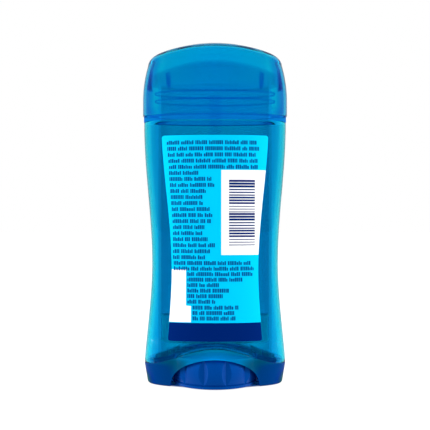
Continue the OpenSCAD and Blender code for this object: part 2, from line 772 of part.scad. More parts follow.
module cap() {
    color(cap_blue, 0.5) {
        cap_loft();
        for (s = [0, 180], k = [-1:1])
            rotate(s) translate([0, k * fin_pitch, 0]) cap_fin();
    }
}

// Point of the label's surface at a place x across and a height z, standing off the shell
function label_at(x, z, off) =
    [x, -half_d(z) * pow(1 - pow(abs(x) / half_w(z), oval_n), 1 / oval_n) - off, z];

// A film over the shell between two edges that may lean with the height
module film(left, right, z0, z1, off, t, nx, nz) {
    w = nx + 1;
    pts = [for (k = [0, 1], j = [0:nz], i = [0:nx])
        let (z = mix(z0, z1, j / nz)) label_at(mix(left(z), right(z), i / nx), z, off + k * t)];
    m = w * (nz + 1);
    faces = concat(
        [for (j = [0:nz - 1], i = [0:nx - 1])
            let (a = j * w + i, b = a + 1, c = b + w, d = a + w)
            each [[a, b, c], [a, c, d], [m + a, m + c, m + b], [m + a, m + d, m + c]]],
        [for (i = [0:nx - 1]) each [[i, m + i, m + i + 1], [i, m + i + 1, i + 1]]],
        [for (i = [0:nx - 1]) let (a = nz * w + i)
            each [[a, a + 1, m + a + 1], [a, m + a + 1, m + a]]],
        [for (j = [0:nz - 1]) let (a = j * w, d = a + w)
            each [[a, d, m + d], [a, m + d, m + a]]],
        [for (j = [0:nz - 1]) let (a = j * w + nx, d = a + w)
            each [[a, m + a, m + d], [a, m + d, d]]]);
    polyhedron(pts, faces);
}

function label_margin(z) =
    mix(label_side_low, label_side_high, (z - label_z) / (label_top - label_z));
label_right = function(z) half_w(z) - label_margin(z);
label_left = function(z) -label_right(z);
print_right = function(z) label_right(z) - edge_in;
print_left = function(z) -print_right(z);

module back_label()
    color(film_cyan)
        film(label_left, label_right, label_z, label_top, film_gap, film_t, 12, 14);

module label_navy_band()
    color(ink_navy)
        film(print_left, print_right, label_z + edge_in, band_top, ink_off, ink_t, 12, 2);

module label_white_print()
    color(ink_white) {
        film(function(z) panel_x, print_right, panel_z, panel_z + panel_h, ink_off, ink_t, 8, 6);
        film(print_left, function(z) tab_w - label_waist, tab_z + 2 * ink_gap, tab_z + tab_h,
             ink_off, ink_t, 3, 3);
        film(print_left, function(z) strip_w - label_waist, strip_z, tab_z, ink_off, ink_t, 3, 2);
    }

module label_barcode() {
    pitch = bars_h / bar_count;
    color(ink_navy)
        for (i = [0:bar_count - 1])
            let (z = panel_z + bar_up + i * pitch,
                 h = pitch * [0.3, 0.65, 0.45, 0.75][(i * 7 + i % 3) % 4])
                film(function(z) panel_x + bar_in, function(z) label_waist - bar_out, z, z + h,
                     ink_off + ink_t + bar_gap, ink_t, 4, 1);
}

cap();
inner_seal();
applicator_head();
inner_barrel();
gel();
elevator();
feed_screw();
dial();
outer_shell();
base_skirt();
back_label();
label_white_print();
label_navy_band();
label_barcode();
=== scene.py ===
import bpy
import math
import numpy as np
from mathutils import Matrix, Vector


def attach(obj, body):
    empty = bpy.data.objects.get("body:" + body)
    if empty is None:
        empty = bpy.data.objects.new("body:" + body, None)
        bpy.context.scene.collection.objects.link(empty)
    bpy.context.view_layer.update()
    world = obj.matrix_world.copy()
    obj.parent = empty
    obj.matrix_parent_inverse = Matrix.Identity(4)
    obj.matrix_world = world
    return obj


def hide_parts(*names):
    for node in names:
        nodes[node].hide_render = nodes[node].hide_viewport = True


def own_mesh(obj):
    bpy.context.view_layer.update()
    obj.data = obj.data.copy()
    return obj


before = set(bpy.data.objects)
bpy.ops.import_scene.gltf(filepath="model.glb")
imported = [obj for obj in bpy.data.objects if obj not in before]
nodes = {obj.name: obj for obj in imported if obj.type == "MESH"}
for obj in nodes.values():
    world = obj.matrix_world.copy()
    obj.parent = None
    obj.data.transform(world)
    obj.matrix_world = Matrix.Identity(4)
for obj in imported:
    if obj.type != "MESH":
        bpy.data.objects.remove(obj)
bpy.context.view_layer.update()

scene = bpy.context.scene

# Sizes in millimetres, the same as the part's own
pack = {
    "ovalPower": 2.2,                         # exponent of the oval section
    "waistHalf": (28.8, 13.4), "waistZ": 54.0,
    "shoulderHalf": (32.4, 14.6), "shoulderZ": 118.6,
    "baseHalf": (32.2, 14.4), "jointZ": 9.5,
    "footHalf": (30.6, 13.7),
    "jointMiddleZ": 17.3, "jointReach": 33.9, "jointGap": 0.3,
}


def say(stage):
    print("stage:", stage, flush=True)


def mix(p, q, t):
    return p + (q - p) * t


def smoothStep(t):
    t = np.clip(t, 0, 1)
    return t * t * (3 - 2 * t)


def roundMax(p, q, k):
    # the larger of two lengths, rounded over where they are within k of each other
    return np.maximum(p, q) + np.maximum(k - np.abs(p - q), 0) ** 2 / (4 * k)


def ovalPoint(a, b, t):
    # x = a cos(t)^(2/n), y = b sin(t)^(2/n), each with its sign kept
    e = 2 / pack["ovalPower"]
    c, s = np.cos(t), np.sin(t)
    return a * np.sign(c) * np.abs(c) ** e, b * np.sign(s) * np.abs(s) ** e


def halfSize(z, axis):
    # half the pack's width (axis 0) or depth (axis 1): half a cosine wave from the waist to
    # the shoulder, t*t*(2-t) from the waist down to the joint line, and straight to the foot
    waist, shoulder = pack["waistHalf"][axis], pack["shoulderHalf"][axis]
    base, foot = pack["baseHalf"][axis], pack["footHalf"][axis]
    up = (1 - np.cos(np.pi * (z - pack["waistZ"]) / (pack["shoulderZ"] - pack["waistZ"]))) / 2
    down = np.clip((pack["waistZ"] - z) / (pack["waistZ"] - pack["jointZ"]), 0, 1)
    low = np.where(z >= pack["jointZ"], mix(waist, base, down * down * (2 - down)),
                   mix(foot, base, z / pack["jointZ"]))
    return np.where(z >= pack["waistZ"], mix(waist, shoulder, up), low)


def quarterRound(r, away):
    # how far a quarter circle of radius r draws a wall in, at a distance from the wall's end
    return r - np.sqrt(np.maximum(r * r - np.maximum(r - away, 0) ** 2, 0))


def bodyPoint(t, z, inset):
    # the pack's oval at a height, with both its halves less by the inset
    return ovalPoint(halfSize(z, 0) - inset, halfSize(z, 1) - inset, t)


def jointOverX(x):
    # the S line: its middle height falls off as cos squared towards both ends
    wave = np.cos(np.minimum(np.pi / 2, np.pi / 2 * np.abs(x) / pack["jointReach"])) ** 2
    return mix(pack["jointZ"], pack["jointMiddleZ"], wave)


def jointAt(t):
    # the S line's height at a turn, in two steps, as its place across depends on its height
    first = jointOverX(bodyPoint(t, np.full_like(t, pack["jointZ"]), 0)[0])
    return jointOverX(bodyPoint(t, first, 0)[0])


def ring(x, y, z):
    # points round one level or edge; a single number stands for all of them
    x, y, z = np.broadcast_arrays(x, y, z)
    return np.stack([x, y, z], axis=-1)


def addPiece(name, points, faces, sharp=32):
    # points are in millimetres; points that agree to 0.0001 mm are merged, faces that this
    # flattens are dropped or become triangles, and edges over the angle stay sharp
    mesh = bpy.data.meshes.new(name)
    points = np.asarray(points, float).reshape(-1, 3)
    keys = np.round(points * 1e4).astype(np.int64)
    _, firstOf, back = np.unique(keys, axis=0, return_index=True, return_inverse=True)
    back = back.reshape(-1)
    kept = []

    def whole(face):
        # true where no two neighbouring corners of the face fell together
        return (face != np.roll(face, -1, axis=1)).all(axis=1)

    for face in faces:
        face = back[face]
        good = whole(face)
        kept += face[good].tolist()
        if face.shape[1] == 4:
            for corners in ((0, 1, 2), (0, 2, 3)):
                half = face[~good][:, corners]
                kept += half[whole(half)].tolist()
    mesh.from_pydata((points[firstOf] / 1000).tolist(), [], kept)
    mesh.validate()
    mesh.shade_smooth()
    mesh.set_sharp_from_angle(angle=math.radians(sharp))
    piece = bpy.data.objects.new(name, mesh)
    scene.collection.objects.link(piece)
    return piece


def gridFaces(rows, columns, closedRows, closedColumns, start=0):
    # quads between rows (levels) and columns (places round a level)
    j = np.arange(rows if closedRows else rows - 1)
    i = np.arange(columns if closedColumns else columns - 1)
    j, i = np.meshgrid(j, i, indexing="ij")
    up, on = (j + 1) % rows, (i + 1) % columns
    quads = np.stack([j * columns + i, j * columns + on, up * columns + on, up * columns + i], -1)
    return quads.reshape(-1, 4) + start


def loft(name, rings, poles=None, sharp=32):
    # a closed skin over rings of equal length: a tube round a closed profile, or with a
    # pole under the first ring and another over the last
    grid = np.stack(rings)
    rows, columns = grid.shape[:2]
    faces = [gridFaces(rows, columns, poles is None, True)]
    points = grid.reshape(-1, 3)
    if poles is not None:
        points = np.concatenate([points, np.asarray(poles, float)])
        i = np.arange(columns)
        on = (i + 1) % columns
        low = np.stack([np.full_like(i, rows * columns), on, i], -1)
        last = (rows - 1) * columns
        high = np.stack([last + i, last + on, np.full_like(i, rows * columns + 1)], -1)
        faces += [low, high]
    return addPiece(name, points, faces, sharp)


def merged(node, name, sharp):
    # a copy of a CAD node with its loose triangles joined, so that curved sides shade smoothly
    source = nodes[node].data
    points = np.empty(len(source.vertices) * 3)
    source.vertices.foreach_get("co", points)
    corners = np.empty(len(source.loops), np.int32)
    source.loops.foreach_get("vertex_index", corners)
    return addPiece(name, points.reshape(-1, 3) * 1000, [corners.reshape(-1, 3)], sharp)


def turns(count):
    # even steps round a full turn, in radians
    return np.arange(count) * 2 * np.pi / count


# Materials

def linear(hexColour):
    values = [int(hexColour[k:k + 2], 16) / 255 for k in (1, 3, 5)]
    return [v / 12.92 if v <= 0.04045 else ((v + 0.055) / 1.055) ** 2.4 for v in values]


def addNode(tree, kind, inputs=None, **settings):
    node = tree.nodes.new(kind)
    for key, value in settings.items():
        setattr(node, key, value)
    for key, value in (inputs or {}).items():
        if isinstance(value, bpy.types.NodeSocket):
            tree.links.new(value, node.inputs[key])
        else:
            node.inputs[key].default_value = value
    return node


def emptyTree(owner):
    # the node tree of a material or of the world, without the nodes that it starts with
    owner.use_nodes = True
    owner.node_tree.nodes.clear()
    return owner.node_tree


def startMaterial(name):
    material = bpy.data.materials.new(name)
    tree = emptyTree(material)
    place = addNode(tree, "ShaderNodeTexCoord").outputs["Object"]
    return material, tree, place


# the finish of most mouldings: bump strengths, and pattern sizes in millimetres
moulded = {"flow": 0.15, "flowSize": 14, "grain": 0.05, "grainSize": 0.6}
driftSize = 38
# depth of both bumps in metres, the range in which most of a noise lies, and how far the
# roughness swings over it
relief = {"flow": 0.0004, "grain": 0.00005, "noise": (0.3, 0.7), "swing": (0.7, 1.4)}
# a thin wall inside the pack, which light passes in a straight line
thinWall = dict(moulded, ior=1.4, clear=0)


def patternScale(millimetres):
    return 1000 / millimetres       # noise cells of this size, in object metres


def mouldedSurface(tree, place, look):
    # long soft flow waves of the moulding and a fine polish grain, both as bump
    low, high = relief["noise"]
    smoother, rougher = relief["swing"]
    flow = addNode(tree, "ShaderNodeTexNoise",
                   {"Vector": place, "Scale": patternScale(look["flowSize"]), "Detail": 2.0})
    wave = addNode(tree, "ShaderNodeBump",
                   {"Height": flow.outputs["Fac"], "Strength": look["flow"],
                    "Distance": relief["flow"]})
    grain = addNode(tree, "ShaderNodeTexNoise",
                    {"Vector": place, "Scale": patternScale(look["grainSize"]), "Detail": 3.0})
    fine = addNode(tree, "ShaderNodeBump",
                   {"Height": grain.outputs["Fac"], "Strength": look["grain"],
                    "Distance": relief["grain"], "Normal": wave.outputs["Normal"]})
    gloss = addNode(tree, "ShaderNodeMapRange",
                    {"Value": grain.outputs["Fac"], "From Min": low, "From Max": high,
                     "To Min": look["roughness"] * smoother,
                     "To Max": look["roughness"] * rougher})
    return fine.outputs["Normal"], gloss.outputs["Result"]


def markAcross(piece, share):
    # each point's distance from the middle plane as a share of half the width at its height
    points = np.empty(len(piece.data.vertices) * 3)
    piece.data.vertices.foreach_get("co", points)
    points = points.reshape(-1, 3) * 1000
    mark = piece.data.attributes.new("across", "FLOAT", "POINT")
    mark.data.foreach_set("value", share(points[:, 0], points[:, 2]))


def acrossBody(x, z):
    # the distance from the middle plane over half the body's width there
    return np.abs(x) / halfSize(z, 0)


def acrossRamp(tree, stops):
    # colours by the marked share, with soft steps between them; the looks use it to paint light and
    # shade across the pack
    share = addNode(tree, "ShaderNodeAttribute", attribute_name="across").outputs["Fac"]
    reach = stops[-1][0]
    part = addNode(tree, "ShaderNodeMath", {0: share, 1: 1 / reach}, operation="MULTIPLY")
    ramp = addNode(tree, "ShaderNodeValToRGB", {"Fac": part.outputs[0]})
    ramp.color_ramp.interpolation = "EASE"
    while len(ramp.color_ramp.elements) < len(stops):
        ramp.color_ramp.elements.new(0.5)
    for element, (distance, colour) in zip(ramp.color_ramp.elements, stops):
        element.position = distance / reach
        element.color = (*linear(colour), 1)
    return ramp.outputs["Color"]


def tinted(tree, place, look):
    # two close tints that drift over a few centimetres, as the wall's thickness does
    # a look with a ramp across takes from it the light and shade painted across the pack, in place
    # of the drift
    if look.get("across"):
        return acrossRamp(tree, look["across"])
    drift = addNode(tree, "ShaderNodeTexNoise",
                    {"Vector": place, "Scale": patternScale(driftSize), "Detail": 1.0})
    colour = addNode(tree, "ShaderNodeMix",
                     {"Factor": drift.outputs["Fac"], "A": (*linear(look["tint"]), 1),
                      "B": (*linear(look["tintTwo"]), 1)}, data_type="RGBA")
    return colour.outputs["Result"]


def clearPlastic(name, look):
    # Moulded clear polypropylene: the wall lets tinted light through, and the dye in it
    # deepens the colour wherever the light travels along the wall instead of across it.
    material, tree, place = startMaterial(name)
    normal, gloss = mouldedSurface(tree, place, look)
    shader = addNode(tree, "ShaderNodeBsdfPrincipled",
                     {"Base Color": tinted(tree, place, look), "Roughness": gloss,
                      "IOR": look["ior"], "Transmission Weight": look.get("clear", 1.0),
                      "Specular IOR Level": look.get("level", 0.5),
                      "Specular Tint": (*linear(look["gloss"]), 1), "Normal": normal})
    surface = shader.outputs["BSDF"]
    if look.get("thin"):
        # a thin wall wetted by its neighbours: this share of the light goes straight on, tinted
        straight = addNode(tree, "ShaderNodeBsdfTransparent",
                           {"Color": tinted(tree, place, look)}).outputs[0]
        surface = addNode(tree, "ShaderNodeMixShader",
                          {0: look["thin"], 1: surface, 2: straight}).outputs[0]
    if look.get("milky"):
        # this share is haze that glows with the light falling on the wall's other face
        haze = addNode(tree, "ShaderNodeBsdfTranslucent",
                       {"Color": tinted(tree, place, look)}).outputs[0]
        surface = addNode(tree, "ShaderNodeMixShader",
                          {0: look["milky"], 1: surface, 2: haze}).outputs[0]
    output = addNode(tree, "ShaderNodeOutputMaterial", {"Surface": surface})
    if look.get("dye"):
        # dye is the colour left after light has crossed dyeDepth millimetres
        through = np.maximum(np.array(linear(look["dye"])), 1e-4)
        loss = -np.log(through) / (look["dyeDepth"] / 1000)
        density = float(loss.max())
        absorb = addNode(tree, "ShaderNodeVolumeAbsorption",
                         {"Color": (*(1 - loss / density), 1), "Density": density})
        tree.links.new(absorb.outputs["Volume"], output.inputs["Volume"])
    return material


def solidPlastic(name, look):
    # Moulded polyolefin without light through it: a soft sheen over a very fine grain, and
    # a share of pearl pigment that mirrors the lamps in the plastic's own colour.
    material, tree, place = startMaterial(name)
    normal, gloss = mouldedSurface(tree, place, look)
    shader = addNode(tree, "ShaderNodeBsdfPrincipled",
                     {"Base Color": tinted(tree, place, look), "Roughness": gloss,
                      "IOR": look["ior"], "Normal": normal,
                      "Metallic": look.get("pearl", 0.0),
                      "Specular Tint": (*linear(look["gloss"]), 1)})
    addNode(tree, "ShaderNodeOutputMaterial", {"Surface": shader.outputs["BSDF"]})
    return material


def redress(piece, rule, *looks):
    # faces take the material whose number the rule gives for their middle, in millimetres
    middles = np.empty(len(piece.data.polygons) * 3)
    piece.data.polygons.foreach_get("center", middles)
    x, y, z = middles.reshape(-1, 3).T * 1000
    piece.data.polygons.foreach_set("material_index", rule(x, y, z).astype(np.int32))
    for look in looks:
        piece.data.materials.append(look)


def ovalReach(x, y, a, b):
    # 1 on the oval with these halves, less inside it
    return (np.abs(x) / a) ** pack["ovalPower"] + (np.abs(y) / b) ** pack["ovalPower"]


def dress(piece, material, body, slot, *replaced):
    piece.data.materials.clear()
    piece.data.materials.append(material)
    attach(piece, body)
    if replaced:
        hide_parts(*replaced)
    return piece


# Outer shell

shell = {
    "columns": 256, "rowsOut": 80, "rowsIn": 70, "roundSteps": 8,
    "wall": 1.3, "shoulderRound": 0.8, "edge": 0.15,
    "look": dict(moulded, dye="#A8F8FA", dyeDepth=1.3, gloss="#005078", ior=1.25,
                 roughness=0.03, flowSize=16,
                 # the ramp across paints a darker band at 0.8, a bright cyan streak near both sides
                 # and a dark rim at the edge: painted shade and painted highlights
                 across=((0, "#0CD2EC"), (0.6, "#0CD0EC"), (0.8, "#0CC0E6"), (0.86, "#0CC4E8"),
                         (0.91, "#0CD4EE"), (0.95, "#0CE8F6"), (0.98, "#0CF4FA"),
                         (1, "#0CA8BC"))),
}


def shellRings():
    # outside from the S line up to the shoulder, a quarter round, then down the inside
    t = turns(shell["columns"])
    low, edge, r = jointAt(t), shell["edge"], shell["shoulderRound"]
    top, steps = pack["shoulderZ"] - r, shell["roundSteps"]
    rings = [ring(*bodyPoint(t, low, edge), low)]
    for v in np.linspace(0, 1, shell["rowsOut"]):
        z = mix(low + edge, top, v)
        rings.append(ring(*bodyPoint(t, z, 0), z))
    for f in np.radians(np.linspace(90 / steps, 90, steps)):
        z = top + r * np.sin(f) + 0 * t
        rings.append(ring(*bodyPoint(t, z, r * (1 - np.cos(f))), z))
    wall = shell["wall"]
    z = pack["shoulderZ"] + 0 * t
    rings.append(ring(*bodyPoint(t, z, wall - edge), z))
    for v in np.linspace(1, 0, shell["rowsIn"]):
        z = mix(low + edge, pack["shoulderZ"] - edge, v)
        rings.append(ring(*bodyPoint(t, z, wall), z))
    rings.append(ring(*bodyPoint(t, low, wall - edge), low))
    return rings


shellPlastic = clearPlastic("CyanClearPolypropylene", shell["look"])
shellPiece = loft("shellMoulding", shellRings(), sharp=50)
markAcross(shellPiece, acrossBody)
dress(shellPiece, shellPlastic, "barrel", "shell_tint", "outer_shell")
say("outer shell")


# Base with its hood and arches

base = {
    "columns": 88, "wall": 1.4, "footRound": 1.1, "soleWidth": 6.0, "soleHeight": 1.5,
    "hoodRadius": 21.6, "hoodZ": 13.4, "hoodBlend": 1.5, "wheelRoom": 20.2,
    "archHalf": 19.9, "archHeight": 13.7, "archFlare": 0.6,
    "tongueIn": 1.45, "tongueThick": 1.0, "tongueHigh": 2.4, "seat": 1.0, "seatStep": 0.4,
    "edge": 0.2,
    "footColumns": 44, "flareColumns": 12,
    "lowShare": 0.12, "lowRows": 10, "highRows": 46, "innerRows": 30,
    "ledgeDeep": 3, "ledgeFrom": 12, "seamShift": 0.4, "seamFade": 2,
    "look": dict(moulded, milky=0.6, dye="#40A0C8", dyeDepth=1.4, gloss="#003C78", level=0.04,
                 clear=0.25, ior=1.49, roughness=0.15,
                 # the ramp across paints the hood's middle lighter, a painted highlight, and a teal
                 # rim at both ends, painted light along the sides
                 across=((0, "#00C4FF"), (0.28, "#00B0EC"), (0.47, "#0078A8"), (0.65, "#0062C0"),
                         (0.84, "#0060C4"), (0.89, "#0056C8"), (0.93, "#005CAC"),
                         (0.97, "#007C84"))),
    "insideLook": dict(moulded, tint="#20B8F0", tintTwo="#20BCF4", dye="#40A0C8", dyeDepth=1.4,
                       thin=0.6, gloss="#003C78", level=0, clear=0.6, ior=1.49, roughness=0.2,
                       flow=0.1),
    # the ledge's lighter plastic is painted light on the shaded inside of the back wall
    "ledgePaintedLightLook": dict(thinWall, tint="#60FFFF", tintTwo="#60FCFF", thin=0.1, gloss="#003C78",
                      level=0, ior=1.49, roughness=0.2, flow=0.1),
    "tongueLook": dict(thinWall, tint="#C0F0FA", tintTwo="#C4F2FC", thin=0.95,
                       gloss="#003C78", roughness=0.1, flow=0.1),
}


def hoodAt(t, z):
    # the hood grows from inside the body at the joint line to its full radius at hoodZ
    top = jointAt(t)
    low = halfSize(top, 1) - base["hoodBlend"]
    return mix(low, base["hoodRadius"],
               smoothStep((top - z) / np.maximum(top - base["hoodZ"], 1)))


def basePoint(t, z, inset, inner=False):
    # the body's oval or the hood's circle, whichever lies further out, rounded over where they
    # meet; the inner face also leaves the wheel its room
    x, y = bodyPoint(t, z, inset)
    r = np.hypot(x, y)
    out = roundMax(r, hoodAt(t, z) - inset, base["hoodBlend"])
    if inner:
        out = np.maximum(out, np.where(z <= base["hoodZ"], base["wheelRoom"], 0))
    return x * out / r, y * out / r


def archCurve(count):
    # from the flared foot up the ellipse to the arch's top: x and z by angle
    a, h, r = base["archHalf"], base["archHeight"], base["archFlare"]
    flare = base["flareColumns"]
    x0 = a * math.sqrt(1 - (r / h) ** 2)
    f = np.radians(np.linspace(0, 90, flare))
    g = np.linspace(math.asin(r / h), math.pi / 2, count - flare + 1)[1:]
    x = np.concatenate([x0 + r * (1 - np.sin(f)), a * np.cos(g)])
    z = np.concatenate([r * (1 - np.cos(f)), h * np.sin(g)])
    return x, z


def turnForX(x, z, inset, inner):
    # the turn, in the first quarter, at which the wall passes the place x, by halving
    low, high = np.zeros_like(x), np.full_like(x, np.pi / 2)
    for _ in range(40):
        middle = (low + high) / 2
        beyond = basePoint(middle, z, inset(z), inner)[0] > x
        low, high = np.where(beyond, middle, low), np.where(beyond, high, middle)
    return (low + high) / 2


def footInset(z):
    # a quarter circle round the feet's lower edge, above it none
    return quarterRound(base["footRound"], z)


def wallInset(z):
    # the inner face lies one wall in at every height
    return base["wall"] + 0 * z


def baseColumns():
    # one quarter: foot columns at even turns, then one column for each point of the arch
    archX, archZ = archCurve(base["columns"])
    outT = turnForX(archX, archZ, footInset, False)
    inT = turnForX(archX, archZ, wallInset, True)
    outT[-1] = inT[-1] = np.pi / 2
    foot = base["footColumns"]
    footT = np.linspace(0, outT[0], foot + 1)[:-1]
    along = np.concatenate([[0], np.cumsum(np.hypot(np.diff(archX), np.diff(archZ)))])
    topT = mix(outT[0], np.pi / 2, along / along[-1])
    quarter = {
        "out": np.concatenate([footT, outT]), "in": np.concatenate([footT, inT]),
        "top": np.concatenate([footT, topT]),
        "z": np.concatenate([np.zeros(foot), archZ]),
    }

    def wholeTurn(values, angle):
        # mirrored at a quarter and at half a turn; the shared columns are kept once
        back = (np.pi - values if angle else values)[::-1][1:]
        half = np.concatenate([values, back])
        other = (2 * np.pi - half if angle else half)[::-1][1:-1]
        return np.concatenate([half, other])

    return {key: wholeTurn(value, key != "z") for key, value in quarter.items()}


def baseRings():
    # a closed profile for each column: up the outside, over the tongue, down the inside,
    # round the sole and back to the arch's or the foot's edge
    c = baseColumns()
    zLow, edge, wall = c["z"], base["edge"], base["wall"]
    topZ = jointAt(c["top"]) - pack["jointGap"]
    rings = []
    share = np.concatenate([np.linspace(0, base["lowShare"], base["lowRows"]),
                            np.linspace(base["lowShare"], 1, base["highRows"])[1:]])
    for v in share:
        t = mix(c["out"], c["top"], v)
        z = mix(zLow, topZ - edge, v)
        rings.append(ring(*basePoint(t, z, footInset(z)), z))
    t = c["top"]
    rings.append(ring(*basePoint(t, topZ, edge), topZ))
    rings.append(ring(*basePoint(t, topZ, base["tongueIn"]), topZ))
    high = topZ + base["tongueHigh"]
    deep = base["tongueIn"] + base["tongueThick"]
    rings.append(ring(*bodyPoint(t, high, base["tongueIn"]), high))
    rings.append(ring(*bodyPoint(t, high, deep), high))
    seat = topZ - base["seat"]
    rings.append(ring(*basePoint(t, seat, deep, True), seat))
    innerLow = np.maximum(zLow, base["soleHeight"])
    for v in np.linspace(1, 0, base["innerRows"]):
        turn = mix(c["in"], c["top"], v)
        z = mix(innerLow, seat - base["seatStep"], v)
        rings.append(ring(*basePoint(turn, z, wall, True), z))
    fade = np.clip(1 - zLow / base["soleHeight"], 0, 1)
    wallX, wallY = basePoint(c["in"], zLow, wall, True)
    soleX, soleY = bodyPoint(c["in"], zLow, base["soleWidth"])
    x, y = mix(wallX, soleX, fade), mix(wallY, soleY, fade)
    rings.append(ring(x, y, innerLow))
    rings.append(ring(x, y, zLow))
    return rings


def acrossBase(x, z):
    # drawn in towards the joint line, so that the ramp's lighter middle reaches further out there:
    # painted light
    under = np.maximum(jointOverX(x) - z, 0)
    return acrossBody(x, z) * (1 - base["seamShift"] * np.exp(-under / base["seamFade"]))


def baseParts(x, y, z):
    # 0 for the outside, 1 for the inner faces, 2 for the tongue above the joint line, 3 for
    # the ledge inside the back wall under it, which takes a lighter plastic: painted light
    middle, joint = base["wall"] / 2, jointOverX(x)
    within = ovalReach(x, y, halfSize(z, 0) - middle, halfSize(z, 1) - middle) < 1
    inside = within & (np.hypot(x, y) < base["hoodRadius"] - middle)
    ledge = within & (y > 0) & (z > joint - base["ledgeDeep"]) & (np.abs(x) > base["ledgeFrom"])
    return np.where(z > joint, 2, np.where(ledge, 3, inside.astype(int)))


basePlastic = clearPlastic("DeepBlueClearPolypropylene", base["look"])
basePiece = loft("baseMoulding", baseRings(), sharp=40)
markAcross(basePiece, acrossBase)
dress(basePiece, basePlastic, "barrel", "base_tint", "base_skirt")
redress(basePiece, baseParts, clearPlastic("BaseInside", base["insideLook"]),
        clearPlastic("BaseTongue", base["tongueLook"]),
        clearPlastic("BaseLedgePaintedLight", base["ledgePaintedLightLook"]))
say("base")


# Cap, its centring ribs and the pull-off seal

cap = {
    "columns": 256, "low": 121.2, "high": 154.4, "half": (32.95, 15.15),
    "straight": 7.0, "sideRadius": 55.5, "depthShare": 0.15, "edgeRound": 3.1, "wall": 1.5,
    "crownRadius": 66.0, "crownRadiusDepth": 34.0,
    "skirtHalf": (23.5, 9.5), "skirtWall": 0.9, "skirtGap": 0.5,
    "ribX": 28.85, "ribLow": 133.2, "ribHigh": 146.8, "ribWide": 0.9, "ribPitch": 2.6,
    "ribBow": 11.0, "ribGap": 0.03, "skirtIn": 0.05, "bevel": 0.2,
    "sideRows": 40, "crownShares": (0.1, 0.2, 0.3, 0.4, 0.5, 0.6, 0.7, 0.78, 0.86, 0.93, 1),
    "look": dict(moulded, dye="#A8F8FA", dyeDepth=1.5, gloss="#005078", ior=1.25, roughness=0.03,
                 # the ramp across paints the cap darker towards both ends: painted shade
                 across=((0, "#0CCEED"), (0.84, "#0CD0EA"), (0.92, "#0CB4E6"), (1, "#0CB0E0"))),
    "thinLook": dict(thinWall, tint="#E8FCFF", tintTwo="#E8FCFF", thin=0.97, gloss="#005078",
                     roughness=0.05),
}
seal = {
    "half": (28.35, 12.95), "low": 135.0, "high": 146.9, "wall": 0.9,
    "roundOut": 0.7, "roundIn": 0.3, "crownRadius": 57.6, "crownRadiusDepth": 27.6,
    "crownShares": (0.95, 0.85, 0.72, 0.58, 0.44, 0.3, 0.15),
    "look": dict(thinWall, tint="#D0F4FA", tintTwo="#D0F4FA", thin=0.98, gloss="#105080",
                 roughness=0.15, flow=0.2, flowSize=9, grain=0.08, grainSize=0.5),
}


def capHalf(z, axis):
    # half the cap's width (axis 0) or depth (axis 1): straight at first, then less by the
    # square of the rise over twice the side's radius, or a share of that in depth
    share = 1 if axis == 0 else cap["depthShare"]
    rise = np.maximum(0, z - cap["low"] - cap["straight"])
    return cap["half"][axis] - share * rise ** 2 / (2 * cap["sideRadius"])


def acrossCap(x, z):
    # the distance from the middle plane over half the cap's width there
    return np.abs(x) / capHalf(z, 0)


def crown(x, y, top, r, rDepth):
    # a shallow dome: the top less x squared over 2r and y squared over 2r for the depth
    return top - x * x / (2 * r) - y * y / (2 * rDepth)


def capCrown(x, y, inset):
    # the cap's dome, lower by the inset
    return crown(x, y, cap["high"] - inset, cap["crownRadius"], cap["crownRadiusDepth"])


def sealCrown(x, y):
    # the seal's dome
    return crown(x, y, seal["high"], seal["crownRadius"], seal["crownRadiusDepth"])


def capAt(t, z, inset):
    # the cap's oval at a height, with both its halves less by the inset
    return ovalPoint(capHalf(z, 0) - inset, capHalf(z, 1) - inset, t)


def capRings():
    # the crown's underside, the inner side, the rim, the outer side, the rounding, the crown
    t = turns(cap["columns"])
    wall, bevel = cap["wall"], cap["bevel"]
    rows, shares = cap["sideRows"], cap["crownShares"]

    def roundOf(inset):
        return cap["edgeRound"] - inset

    def edge(inset):
        # the height at which the side ends and the rounding begins
        z = cap["high"] + 0 * t
        for _ in range(2):
            z = capCrown(*capAt(t, z, inset), inset) - roundOf(inset)
        return z

    def side(inset, shares, low):
        top = edge(inset)
        return [ring(*capAt(t, mix(low, top, v), inset), mix(low, top, v)) for v in shares]

    def rounding(inset, angles):
        top, r = edge(inset), roundOf(inset)
        rings = []
        for f in np.radians(angles):
            x, y = capAt(t, top, inset + r * (1 - np.cos(f)))
            rings.append(ring(x, y, mix(top, capCrown(x, y, inset), np.sin(f))))
        return rings

    def dome(inset, shares):
        x, y = capAt(t, edge(inset), inset + roundOf(inset))
        return [ring(x * s, y * s, capCrown(x * s, y * s, inset)) for s in shares]

    inside = dome(wall, shares)
    inside += rounding(wall, np.linspace(84, 0, 15))
    inside += side(wall, np.linspace(1, 0, rows)[1:-1], cap["low"] + bevel)
    rim = [ring(*capAt(t, cap["low"] + bevel + 0 * t, wall), cap["low"] + bevel),
           ring(*capAt(t, cap["low"] + 0 * t, wall - bevel), cap["low"]),
           ring(*capAt(t, cap["low"] + 0 * t, bevel), cap["low"])]
    outside = side(0, np.linspace(0, 1, rows), cap["low"] + bevel)
    outside += rounding(0, np.linspace(5, 85, 17))
    outside += dome(0, shares[::-1])
    return inside + rim + outside


def skirtRings():
    # the oval skirt under the crown: a closed wall whose foot follows the seal's dome
    t = turns(cap["columns"])

    def at(inset, under):
        x, y = ovalPoint(cap["skirtHalf"][0] - inset, cap["skirtHalf"][1] - inset, t)
        roof = capCrown(x, y, cap["wall"]) + cap["skirtIn"]
        low = sealCrown(x, y) + cap["skirtGap"]
        return ring(x, y, mix(low, roof, under))

    thick, bevel = cap["skirtWall"], cap["bevel"]
    rings = [at(thick, under) for under in np.linspace(1, 0.02, 8)]
    rings += [at(thick - bevel, 0), at(bevel, 0)]
    return rings + [at(0, under) for under in np.linspace(0.02, 1, 8)]


